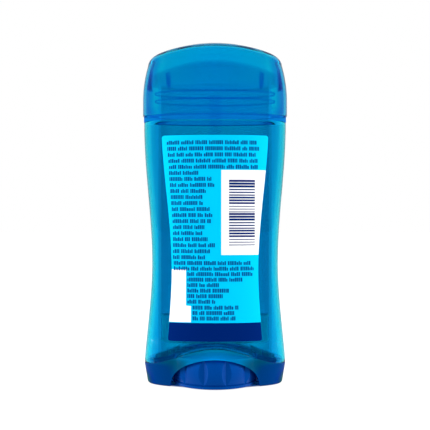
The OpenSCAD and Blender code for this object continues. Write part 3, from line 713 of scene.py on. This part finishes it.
def capRibs():
    # three short ribs at each end: a rectangle at each height, whose outer side follows the wall
    z = np.linspace(cap["ribLow"], cap["ribHigh"], 24)
    outer = capHalf(z, 0) - cap["wall"] - cap["ribGap"]
    points, faces = [], []
    for sign in (1, -1):
        for k in (-1, 0, 1):
            y0 = k * cap["ribPitch"] - cap["ribWide"] / 2
            y1 = y0 + cap["ribWide"]
            inner = np.full_like(z, cap["ribX"])
            away = abs(k * cap["ribPitch"]) / cap["ribBow"]
            wallX = outer * (1 - away ** pack["ovalPower"]) ** (1 / pack["ovalPower"])
            a = np.stack([ring(sign * inner, y0, z), ring(sign * wallX, y0, z),
                          ring(sign * wallX, y1, z), ring(sign * inner, y1, z)], 1)
            if sign < 0:
                a = a[:, ::-1]
            start = sum(len(p) for p in points)
            points.append(a.reshape(-1, 3))
            faces.append(gridFaces(len(z), 4, False, True, start))
            last = start + 4 * (len(z) - 1)
            faces.append(np.array([[start + 3, start + 2, start + 1, start]]))
            faces.append(np.array([[last, last + 1, last + 2, last + 3]]))
    return addPiece("capCentringRibs", np.concatenate(points), faces)


def sealRings():
    # down the inside from the dome, round the rim and up the outside
    t = turns(cap["columns"])

    def half(inset):
        return seal["half"][0] - inset, seal["half"][1] - inset

    def upTo(inset, r):
        x, y = ovalPoint(*half(inset), t)
        high = sealCrown(x, y) - inset - r
        walls = [ring(x, y, mix(seal["low"], high, v)) for v in np.linspace(0, 1, 12)]
        for f in np.radians(np.linspace(15, 90, 6)):
            x, y = ovalPoint(*half(inset + r * (1 - np.cos(f))), t)
            walls.append(ring(x, y, mix(high, sealCrown(x, y) - inset, np.sin(f))))
        for s in seal["crownShares"]:
            walls.append(ring(x * s, y * s, sealCrown(x * s, y * s) - inset))
        return walls

    return upTo(seal["wall"], seal["roundIn"])[::-1] + upTo(0, seal["roundOut"])


capPlastic = clearPlastic("BlueClearPolypropylene", cap["look"])
capPiece = loft("capMoulding", capRings(),
                [[0, 0, cap["high"] - cap["wall"]], [0, 0, cap["high"]]], sharp=45)
markAcross(capPiece, acrossCap)
dress(capPiece, capPlastic, "cap", "cap_tint", "cap")
skirtPlastic = clearPlastic("ThinBlueClearPolypropylene", cap["thinLook"])
skirtPiece = loft("capSkirt", skirtRings(), sharp=45)
dress(skirtPiece, skirtPlastic, "cap", "cap_tint")
ribs = capRibs()
markAcross(ribs, acrossCap)
dress(ribs, capPlastic, "cap", "cap_tint")
sealPlastic = clearPlastic("ThinClearPolypropylene", seal["look"])
sealPiece = loft("sealMoulding", sealRings(),
                 [[0, 0, seal["high"] - seal["wall"]], [0, 0, seal["high"]]], sharp=45)
dress(sealPiece, sealPlastic, "barrel", "seal_clear", "inner_seal")
say("cap and seal")


# Applicator and chamber

applicator = {
    "skirtHalf": (27.25, 11.85), "beadZ": (128.1, 131.6), "beadNear": 0.5,
    "guideX": 21.2, "guideNear": 0.6, "guideLow": 135.2, "guideHigh": 143.6,
    "look": dict(thinWall, tint="#E8FCFE", tintTwo="#E8FCFE", thin=0.99, gloss="#105080",
                 roughness=0.12, flow=0.2, flowSize=9, grain=0.08, grainSize=0.5),
}
chamber = {
    "floorHigh": 19, "flangeLow": 118.5, "flangeHigh": 121.11,
    "look": dict(thinWall, tint="#70F0F2", tintTwo="#78F2F4", thin=0.98, gloss="#0068FF",
                 roughness=0.2, flow=0.25, flowSize=12),
}
# the same plastics: deeper where a wall runs along the view or is thick; the neck's lighter copy is
# painted light
edgeLook = dict(applicator["look"], tint="#58CCF8", tintTwo="#58CCF8", thin=0.94)
flangeLook = dict(chamber["look"], tint="#20B0E8", tintTwo="#20B4EC", thin=0.94)
neckPaintedLightLook = dict(chamber["look"], tint="#80F8FF", tintTwo="#84FAFF", thin=0.99)
floorLook = dict(chamber["look"], tint="#70ECFC", tintTwo="#74EEFE", thin=0.75)
applicatorPlastic = clearPlastic("NaturalPolypropylene", applicator["look"])
chamberPlastic = clearPlastic("RoyalBlueClearPolypropylene", chamber["look"])
applicatorPiece = merged("applicator_head", "applicatorMoulding", sharp=25)
dress(applicatorPiece, applicatorPlastic, "barrel", "applicator_plastic", "applicator_head")
chamberPiece = merged("inner_barrel", "chamberMoulding", sharp=25)
dress(chamberPiece, chamberPlastic, "barrel", "barrel_blue", "inner_barrel")


def chamberParts(x, y, z):
    # 0 for the chamber, 1 for the flange, 2 for the neck above it, 3 for the stepped floor
    return (z > chamber["flangeLow"]).astype(int) + (z > chamber["flangeHigh"]) \
        + 3 * (z < chamber["floorHigh"])


def applicatorParts(x, y, z):
    # 1 for the two beads round the outside and the two guides under the crown
    near = applicator["beadNear"]
    bead = np.any([np.abs(z - beadZ) < near for beadZ in applicator["beadZ"]], axis=0)
    bead &= ovalReach(x, y, *applicator["skirtHalf"]) > 1
    guide = (np.abs(np.abs(x) - applicator["guideX"]) < applicator["guideNear"]) \
        & (z > applicator["guideLow"]) & (z < applicator["guideHigh"])
    return (bead | guide).astype(int)


redress(chamberPiece, chamberParts, clearPlastic("RoyalBlueFlange", flangeLook),
        clearPlastic("RoyalBlueNeckPaintedLight", neckPaintedLightLook), clearPlastic("RoyalBlueFloor", floorLook))
redress(applicatorPiece, applicatorParts, clearPlastic("ApplicatorEdges", edgeLook))
say("applicator and chamber")


# Gel

gel = {
    "half": (24.45, 9.05), "low": 31.15, "high": 135.0, "bevel": 0.5,
    "columns": 128, "rows": 40, "endShares": (0.3, 0.6, 1),
    "look": dict(thinWall, tint="#E8F8FF", tintTwo="#ECFAFF", thin=0.99, gloss="#4080A0",
                 ior=1.3, roughness=0.02, flow=0.3, flowSize=18, grain=0.04, grainSize=0.8),
}


def gelRings():
    # the oval side between two bevelled rims and flat ends; the screw stands inside it
    t = turns(gel["columns"])
    a, b = gel["half"]
    low, high, bevel, shares = gel["low"], gel["high"], gel["bevel"], gel["endShares"]

    def end(z, shares):
        return [ring(*ovalPoint((a - bevel) * f, (b - bevel) * f, t), z) for f in shares]

    side = [ring(*ovalPoint(a, b, t), z)
            for z in np.linspace(low + bevel, high - bevel, gel["rows"])]
    return end(low, shares) + side + end(high, shares[::-1])


def clearGel(name, look):
    # Clear alcohol gel poured against its walls: light goes straight on through it, hardly
    # tinted, with only a faint wet gleam.
    return clearPlastic(name, look)


gelClear = clearGel("ClearGel", gel["look"])
gelPiece = loft("gelFill", gelRings(), [[0, 0, gel["low"]], [0, 0, gel["high"]]], sharp=60)
dress(gelPiece, gelClear, "barrel", "gel_clear", "gel")
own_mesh(gelPiece)
say("gel")


# Screw, platform and wheel

screw = {
    "columns": 40, "radius": 2.98, "root": 2.35, "lead": 3.2, "step": 0.2,
    "threadLow": 19.2, "threadHigh": 130.2, "fadeLow": 1.5, "fadeHigh": 0.8,
    "steepness": 0.9,
    "keeperRadius": 3.2, "keeperLow": 1.16, "keeperHigh": 2.15, "square": 1.98, "squareHigh": 13.6,
    "tipRadius": 2.6, "tipHigh": 130.75,
    # height and radius up the shaft and round the thrust collar
    "collar": ((13.6, 2.98), (16.96, 2.98), (16.96, 5.1), (17.06, 5.18), (18.04, 5.18),
               (18.14, 5.1), (18.14, 2.98), (19.2, 2.98)),
    "look": dict(thinWall, tint="#E8F4FC", tintTwo="#ECF6FE", thin=0.99, gloss="#4080A0",
                 ior=1.3, roughness=0.05, flow=0.1, flowSize=8, grainSize=0.4),
}


def screwRings():
    # the radius over height and turn: square tail, thrust collar, then a thread whose
    # depth is a flattened cosine of height over lead less the turn
    t = turns(screw["columns"])
    square = screw["square"] / np.maximum(np.abs(np.cos(t)), np.abs(np.sin(t)))
    steps = [(screw["keeperLow"], screw["keeperRadius"]),
             (screw["keeperHigh"], screw["keeperRadius"]),
             (screw["keeperHigh"], square), (screw["squareHigh"], square), *screw["collar"]]
    low, high = screw["threadLow"], screw["threadHigh"]
    for z in np.arange(low + screw["step"], high, screw["step"]):
        wave = np.cos(2 * np.pi * z / screw["lead"] - t)
        fadeIn = smoothStep((z - low) / screw["fadeLow"])
        fadeOut = smoothStep((high - z) / screw["fadeHigh"])
        crest = np.clip(0.5 + screw["steepness"] * wave, 0, 1)
        r = mix(screw["radius"], mix(screw["root"], screw["radius"], crest), fadeIn * fadeOut)
        steps.append((z, r))
    steps.append((screw["tipHigh"], screw["tipRadius"]))
    return [ring(r * np.cos(t), r * np.sin(t), z) for z, r in steps]


# the gel wets the screw, so that it shows only as a faint tint
screwPlastic = clearPlastic("NaturalClearPolypropylene", screw["look"])
screwPiece = loft("screwThreaded", screwRings(),
                  [[0, 0, screw["keeperLow"]], [0, 0, screw["tipHigh"]]], sharp=35)
dress(screwPiece, screwPlastic, "wheel", "screw_clear", "feed_screw")

platformLook = {"tint": "#F0F2F3", "tintTwo": "#E8ECEE", "gloss": "#FFFFFF", "ior": 1.51,
                "roughness": 0.42, "flow": 0.1, "flowSize": 8, "grain": 0.1, "grainSize": 0.4}
platformPlastic = solidPlastic("WhitePolyethylene", platformLook)
platformPiece = merged("elevator", "platformMoulding", sharp=25)
dress(platformPiece, platformPlastic, "platform", "lift_white", "elevator")

wheelLook = {"tint": "#003C8C", "tintTwo": "#003886", "gloss": "#00A0FF", "ior": 1.5,
             "pearl": 0.1, "roughness": 0.35, "flow": 0.15, "flowSize": 6, "grain": 0.12,
             "grainSize": 0.35}
wheelPlastic = solidPlastic("DeepBluePolypropylene", wheelLook)
wheelPiece = merged("dial", "wheelMoulding", sharp=14)
dress(wheelPiece, wheelPlastic, "wheel", "wheel_blue", "dial")
say("screw, platform and wheel")


# Label and its print

label = {
    "low": 20.4, "high": 111.5, "marginLow": 10.1, "marginHigh": 8.6, "corner": 1.2,
    "filmOff": 0.08, "film": 0.12, "ink": 0.04, "inkOff": 0.03, "layer": 0.05, "edge": 0.06,
    "bandHigh": 28.7, "stripLow": 29.0, "tabLow": 36.3, "tabHigh": 52.2,
    "stripRight": -10.65, "tabRight": -12.85,
    "panelLeft": 2.8, "panelLow": 58.7, "panelHigh": 96.1, "cornerSteps": 7,
    "barLeft": 6.2, "barRight": 17.65, "barLow": 62.9, "barHeight": 29.2, "bars": 24,
    "barShares": (0.3, 0.65, 0.45, 0.75),
}


def labelSurface(x, z, off):
    # the shell's front at a place across and a height, moved out by off
    reach = np.abs(x) / halfSize(z, 0)
    y = -halfSize(z, 1) * (1 - reach ** pack["ovalPower"]) ** (1 / pack["ovalPower"]) - off
    return ring(x, y, z)


def labelEdge(z):
    # half the label's width: half the shell's less a margin that narrows evenly upwards
    lean = (z - label["low"]) / (label["high"] - label["low"])
    return halfSize(z, 0) - mix(label["marginLow"], label["marginHigh"], lean)


def patch(name, left, right, low, high, off, thick, corner=0.0, columns=48, rows=60,
          roundTop=True):
    # a thin closed sheet on the shell: front and back grids joined round their edges, with
    # rows drawn in near the ends by a quarter circle for round corners
    z = np.linspace(low, high, rows)
    if corner:
        arc = corner * (1 - np.cos(np.linspace(0, np.pi / 2, label["cornerSteps"])))[:-1]
        z = np.concatenate([low + arc, np.linspace(low + corner, high - corner, rows),
                            (high - arc)[::-1]])
    near = np.minimum(z - low, high - z) if roundTop else z - low
    pull = quarterRound(corner, near)
    x0, x1 = left(z) + pull, right(z) - pull
    u = np.linspace(0, 1, columns)
    x = mix(x0[:, None], x1[:, None], u[None, :])
    zz = np.broadcast_to(z[:, None], x.shape)
    front, back = labelSurface(x, zz, off + thick), labelSurface(x, zz, off)
    n, m = x.shape
    points = np.concatenate([front.reshape(-1, 3), back.reshape(-1, 3)])
    size = n * m
    faceFront = gridFaces(n, m, False, False)
    faceBack = faceFront[:, ::-1] + size
    index = np.arange(size).reshape(n, m)
    loop = np.concatenate([index[0, :], index[1:, -1], index[-1, ::-1][1:], index[::-1, 0][1:-1]])
    nextOne = np.roll(loop, -1)
    rim = np.stack([nextOne, loop, loop + size, nextOne + size], -1)
    return addPiece(name, points, [faceFront, faceBack, rim], 40)


def printMarks(name, marks, off, thick):
    # many small rectangles as closed plates; marks has left, right, low and high for each
    marks = np.asarray(marks, float)
    columns, sides = 5, 4
    u = np.linspace(0, 1, columns)
    x = mix(marks[:, 0, None], marks[:, 1, None], u[None, :])
    both = []
    for level in (marks[:, 2], marks[:, 3]):
        z = np.broadcast_to(level[:, None], x.shape)
        both.append((labelSurface(x, z, off + thick), labelSurface(x, z, off)))
    (frontLow, backLow), (frontHigh, backHigh) = both
    rings = np.stack([frontLow, frontHigh, backHigh, backLow], axis=1)   # mark, side, across
    first = np.arange(len(marks))[:, None] * sides * columns  # each mark's first point
    start = first[:, :, None]
    side = np.arange(sides)[None, :, None]
    across = np.arange(columns - 1)[None, None, :]
    a = start + side * columns + across
    b = start + ((side + 1) % sides) * columns + across
    quads = np.stack([a, a + 1, b + 1, b], -1).reshape(-1, 4)
    leftEnd = first + np.arange(sides) * columns
    rightEnd = leftEnd[:, ::-1] + columns - 1
    return addPiece(name, rings.reshape(-1, 3), [quads, leftEnd, rightEnd], 40)


def constant(value):
    # an edge that stands upright at one place across
    return lambda z: value + 0 * z


def inkOff(layer):
    # how far off the shell a layer of print begins: over the film, and a step up for each layer
    return label["filmOff"] + label["film"] + label["inkOff"] + layer * label["layer"]


filmPiece = patch("labelFilm", lambda z: -labelEdge(z), labelEdge, label["low"], label["high"],
                  label["filmOff"], label["film"], label["corner"])
bandPiece = patch("labelFootBand", lambda z: label["edge"] - labelEdge(z),
                  lambda z: labelEdge(z) - label["edge"], label["low"] + label["edge"],
                  label["bandHigh"], inkOff(0), label["ink"], label["corner"], rows=12,
                  roundTop=False)
panelPiece = patch("labelPanel", constant(label["panelLeft"]),
                   lambda z: labelEdge(z) - label["edge"], label["panelLow"],
                   label["panelHigh"], inkOff(0), label["ink"], columns=24)
tabPiece = patch("labelTab", lambda z: label["edge"] - labelEdge(z),
                 lambda z: np.where(z > label["tabLow"] + 0.01, label["tabRight"],
                                    label["stripRight"]),
                 label["stripLow"], label["tabHigh"], inkOff(0), label["ink"],
                 columns=10, rows=96)
# the bars take four thicknesses in a plain order and encode nothing
barRows = np.arange(label["bars"])
barPitch = label["barHeight"] / label["bars"]
barShare = np.array(label["barShares"])[(barRows * 7 + barRows % 3) % 4]
barLow = label["barLow"] + barRows * barPitch
barPiece = printMarks("labelBars", np.stack(
    [np.full(label["bars"], label["barLeft"]), np.full(label["bars"], label["barRight"]),
     barLow, barLow + barPitch * barShare], -1), inkOff(1) + label["inkOff"], label["ink"])


smallPrint = {
    "seed": 7, "wordWide": (2.4, 7.6), "wordGap": 0.62, "wordLeast": 1.5,
    "blockWide": (0.42, 0.72), "blockGap": 0.24, "blockLeast": 0.4,
    "tall": 1.75, "short": 1.3, "tallShare": 0.75, "leanRows": 9,
    # first row's height, pitch, rows, left end, its lean a row, and right ends in turn
    "groups": ((107.4, 2.68, 5, -21.4, 0.25, (18.6, 19.6, 18.0, 18.8, 19.2)),
               (94.0, 2.66, 15, -20.4, 0.2, (-5.2, -1.6, 0.2, -1.8, -4.6)),
               (54.2, 2.43, 2, -18.3, 0, (15.8, 17.4)),
               (49.34, 2.43, 2, -12.2, 0, (17.0, 12.6)),
               (44.5, 2.43, 4, -12.2, 0, (3.6, 5.8, 4.6, 0.2)),
               (34.6, 2.38, 3, -9.9, 0, (10.8, 9.4, 9.6))),
}


def textRows():
    # plain blocks in rows and word-long runs, in place of the small print
    draw = np.random.default_rng(smallPrint["seed"])
    marks = []

    def row(x, right, z):
        while x < right - smallPrint["wordLeast"]:
            wordEnd = min(x + draw.uniform(*smallPrint["wordWide"]), right)
            while x < wordEnd - smallPrint["blockLeast"]:
                wide = draw.uniform(*smallPrint["blockWide"])
                tall = draw.random() < smallPrint["tallShare"]
                marks.append((x, x + wide, z, z + smallPrint["tall" if tall else "short"]))
                x += wide + smallPrint["blockGap"]
            x += smallPrint["wordGap"]

    for top, pitch, count, left, lean, rights in smallPrint["groups"]:
        for k in range(count):
            row(left + lean * min(k, smallPrint["leanRows"]), rights[k % len(rights)],
                top - pitch * k)
    return printMarks("labelSmallPrint", marks, inkOff(0), label["ink"])


printPiece = textRows()


filmFinish = {"screenSize": 0.5, "rippleSize": 20, "ripple": 0.1, "rippleDepth": 0.0003,
              "ior": 1.49}


def printedFilm(name, look):
    # Printed polypropylene film under a clear varnish: flat even ink with a faint screen
    # grain, and a thin sharp gloss from the varnish.
    material, tree, place = startMaterial(name)
    ink = addNode(tree, "ShaderNodeTexNoise",
                  {"Vector": place, "Scale": patternScale(filmFinish["screenSize"]),
                   "Detail": 2.0})
    colour = addNode(tree, "ShaderNodeMix",
                     {"Factor": ink.outputs["Fac"], "A": (*linear(look["ink"]), 1),
                      "B": (*linear(look["inkTwo"]), 1)}, data_type="RGBA")
    ripple = addNode(tree, "ShaderNodeTexNoise",
                     {"Vector": place, "Scale": patternScale(filmFinish["rippleSize"]),
                      "Detail": 1.0})
    wave = addNode(tree, "ShaderNodeBump",
                   {"Height": ripple.outputs["Fac"], "Strength": filmFinish["ripple"],
                    "Distance": filmFinish["rippleDepth"]})
    shader = addNode(tree, "ShaderNodeBsdfPrincipled",
                     {"Base Color": colour.outputs["Result"], "Roughness": look["roughness"],
                      "IOR": filmFinish["ior"],
                      "Specular Tint": (*linear(look["gloss"]), 1),
                      "Normal": wave.outputs["Normal"]})
    addNode(tree, "ShaderNodeOutputMaterial", {"Surface": shader.outputs["BSDF"]})
    return material


inks = {
    "cyan": {"ink": "#00CAFE", "inkTwo": "#02C6FB", "gloss": "#003C50", "roughness": 0.35},
    "white": {"ink": "#FFFFFF", "inkTwo": "#FCFDFE", "gloss": "#404040", "roughness": 0.4},
    "navy": {"ink": "#002068", "inkTwo": "#00226A", "gloss": "#001020", "roughness": 0.35},
    "smallPrint": {"ink": "#084A8C", "inkTwo": "#0A5094", "gloss": "#002030", "roughness": 0.4},
}
cyanFilm = printedFilm("CyanPrintedFilm", inks["cyan"])
whiteInk = printedFilm("WhiteScreenInk", inks["white"])
navyInk = printedFilm("NavyScreenInk", inks["navy"])
smallInk = printedFilm("FineNavyPrint", inks["smallPrint"])
dress(filmPiece, cyanFilm, "barrel", "label_cyan", "back_label")
dress(bandPiece, navyInk, "barrel", "label_navy", "label_navy_band")
dress(panelPiece, whiteInk, "barrel", "label_white", "label_white_print")
dress(tabPiece, whiteInk, "barrel", "label_white", "label_white_print")
dress(barPiece, navyInk, "barrel", "label_navy", "label_barcode")
dress(printPiece, smallInk, "barrel", "label_navy")
say("label")


# Floor, world, lamps and camera

studio = {
    "floorSize": 6.0, "floorDrop": 0.0002, "floorGlow": 0.86, "floorWhite": 0.42, "worldLight": 0.6,
    "packOval": (0.027, 0.0125), "ovalFade": 0.08,
    # the painted shadow's colours under the pack: its glow and its paint
    "paintedShadowGlow": (0, 0.04, 0.18), "paintedShadowPaint": (0, 0.06, 0.2),
    "cameraDistance": 0.362, "cameraHeight": 0.0763, "pictureWidth": 0.19694, "sensor": 36,
    # the right lamp's place, its target, size and watts; the left one mirrors it
    "lamps": {"Lamp": ((0.52, -0.6, 0.35), (0, 0, 0.05), (0.7, 0.7), 2.4),
              "WheelLamp": ((0.36, -0.045, 0.03), (0, -0.02, 0), (0.16, 0.06), 1.3)},
}


def seenBackground(tree):
    # 1 for what the camera sees straight, in gloss or through clear plastic
    path = addNode(tree, "ShaderNodeLightPath")
    clear = addNode(tree, "ShaderNodeMath",
                    {0: path.outputs["Is Glossy Ray"], 1: path.outputs["Is Transmission Ray"]},
                    operation="MAXIMUM").outputs[0]
    return addNode(tree, "ShaderNodeMath", {0: path.outputs["Is Camera Ray"], 1: clear},
                   operation="MAXIMUM").outputs[0]


def paintedShadowMask(tree):
    # the mask of the painted shadow: 0 in the oval that the pack stands on, 1 outside it
    place = addNode(tree, "ShaderNodeTexCoord").outputs["Object"]
    (a, b), fade = studio["packOval"], studio["ovalFade"]
    scaled = addNode(tree, "ShaderNodeVectorMath", {0: place, 1: (1 / a, 1 / b, 0)},
                     operation="MULTIPLY").outputs["Vector"]
    reach = addNode(tree, "ShaderNodeVectorMath", {0: scaled}, operation="LENGTH").outputs["Value"]
    return addNode(tree, "ShaderNodeMapRange",
                   {"Value": reach, "From Min": 1 - fade, "From Max": 1 + fade}).outputs["Result"]


def floorAndPaintedShadow(tree, under, beside):
    # under the pack the floor is painted dark blue: a painted shadow in the blue of the light that
    # comes through the pack
    return addNode(tree, "ShaderNodeMix",
                   {"Factor": paintedShadowMask(tree), "A": (*under, 1), "B": (*[beside] * 3, 1)},
                   data_type="RGBA").outputs["Result"]


def makeFloor():
    # a hair under the soles
    half, z = studio["floorSize"] / 2, -studio["floorDrop"]
    mesh = bpy.data.meshes.new("floor")
    mesh.from_pydata([(-half, -half, z), (half, -half, z), (half, half, z), (-half, half, z)],
                     [], [(0, 1, 2, 3)])
    floor = bpy.data.objects.new("floor", mesh)
    scene.collection.objects.link(floor)
    material = bpy.data.materials.new("WhiteStudioFloor")
    tree = emptyTree(material)
    light = addNode(tree, "ShaderNodeEmission",
                    {"Color": floorAndPaintedShadow(tree, studio["paintedShadowGlow"], studio["floorGlow"]),
                     "Strength": seenBackground(tree)})
    paint = addNode(tree, "ShaderNodeBsdfDiffuse",
                    {"Color": floorAndPaintedShadow(tree, studio["paintedShadowPaint"], studio["floorWhite"])})
    added = addNode(tree, "ShaderNodeAddShader",
                    {0: light.outputs[0], 1: paint.outputs[0]})
    addNode(tree, "ShaderNodeOutputMaterial", {"Surface": added.outputs[0]})
    mesh.materials.append(material)


def makeWorld():
    world = bpy.data.worlds.new("studioWorld")
    tree = emptyTree(world)
    strength = addNode(tree, "ShaderNodeMix",
                       {"Factor": seenBackground(tree), "A": studio["worldLight"], "B": 1.0},
                       data_type="FLOAT")
    back = addNode(tree, "ShaderNodeBackground",
                   {"Color": (1, 1, 1, 1), "Strength": strength.outputs["Result"]})
    addNode(tree, "ShaderNodeOutputWorld", {"Surface": back.outputs[0]})
    scene.world = world


def addLamps(kind, mirrored):
    # a soft lamp on each side; only a mirrored pair shows in the gloss and through the walls
    (x, y, z), target, size, power = studio["lamps"][kind]
    for name, side in (("left", -1), ("right", 1)):
        data = bpy.data.lights.new(name + kind, "AREA")
        data.shape = "RECTANGLE"
        data.size, data.size_y = size
        data.energy = power
        lamp = bpy.data.objects.new(name + kind, data)
        lamp.location = place = Vector((side * x, y, z))
        lamp.rotation_euler = (Vector(target) - place).to_track_quat("-Z", "Y").to_euler()
        if not mirrored:
            lamp.visible_camera = lamp.visible_glossy = lamp.visible_transmission = False
        scene.collection.objects.link(lamp)


makeFloor()
makeWorld()
addLamps("Lamp", True)
addLamps("WheelLamp", False)
scene.view_settings.view_transform = "Standard"
# enough bounces for the light to pass every clear wall
scene.cycles.max_bounces = 32
scene.cycles.transmission_bounces = 32
scene.cycles.glossy_bounces = 16
scene.cycles.transparent_max_bounces = 64

camera = bpy.data.cameras.new("camera")
camera.sensor_width = studio["sensor"]
camera.lens = studio["sensor"] * studio["cameraDistance"] / studio["pictureWidth"]
camera.clip_start = 0.01
cameraObject = bpy.data.objects.new("camera", camera)
cameraObject.location = (0, -studio["cameraDistance"], studio["cameraHeight"])
cameraObject.rotation_euler = (math.pi / 2, 0, 0)
scene.collection.objects.link(cameraObject)
scene.camera = cameraObject
say("studio")
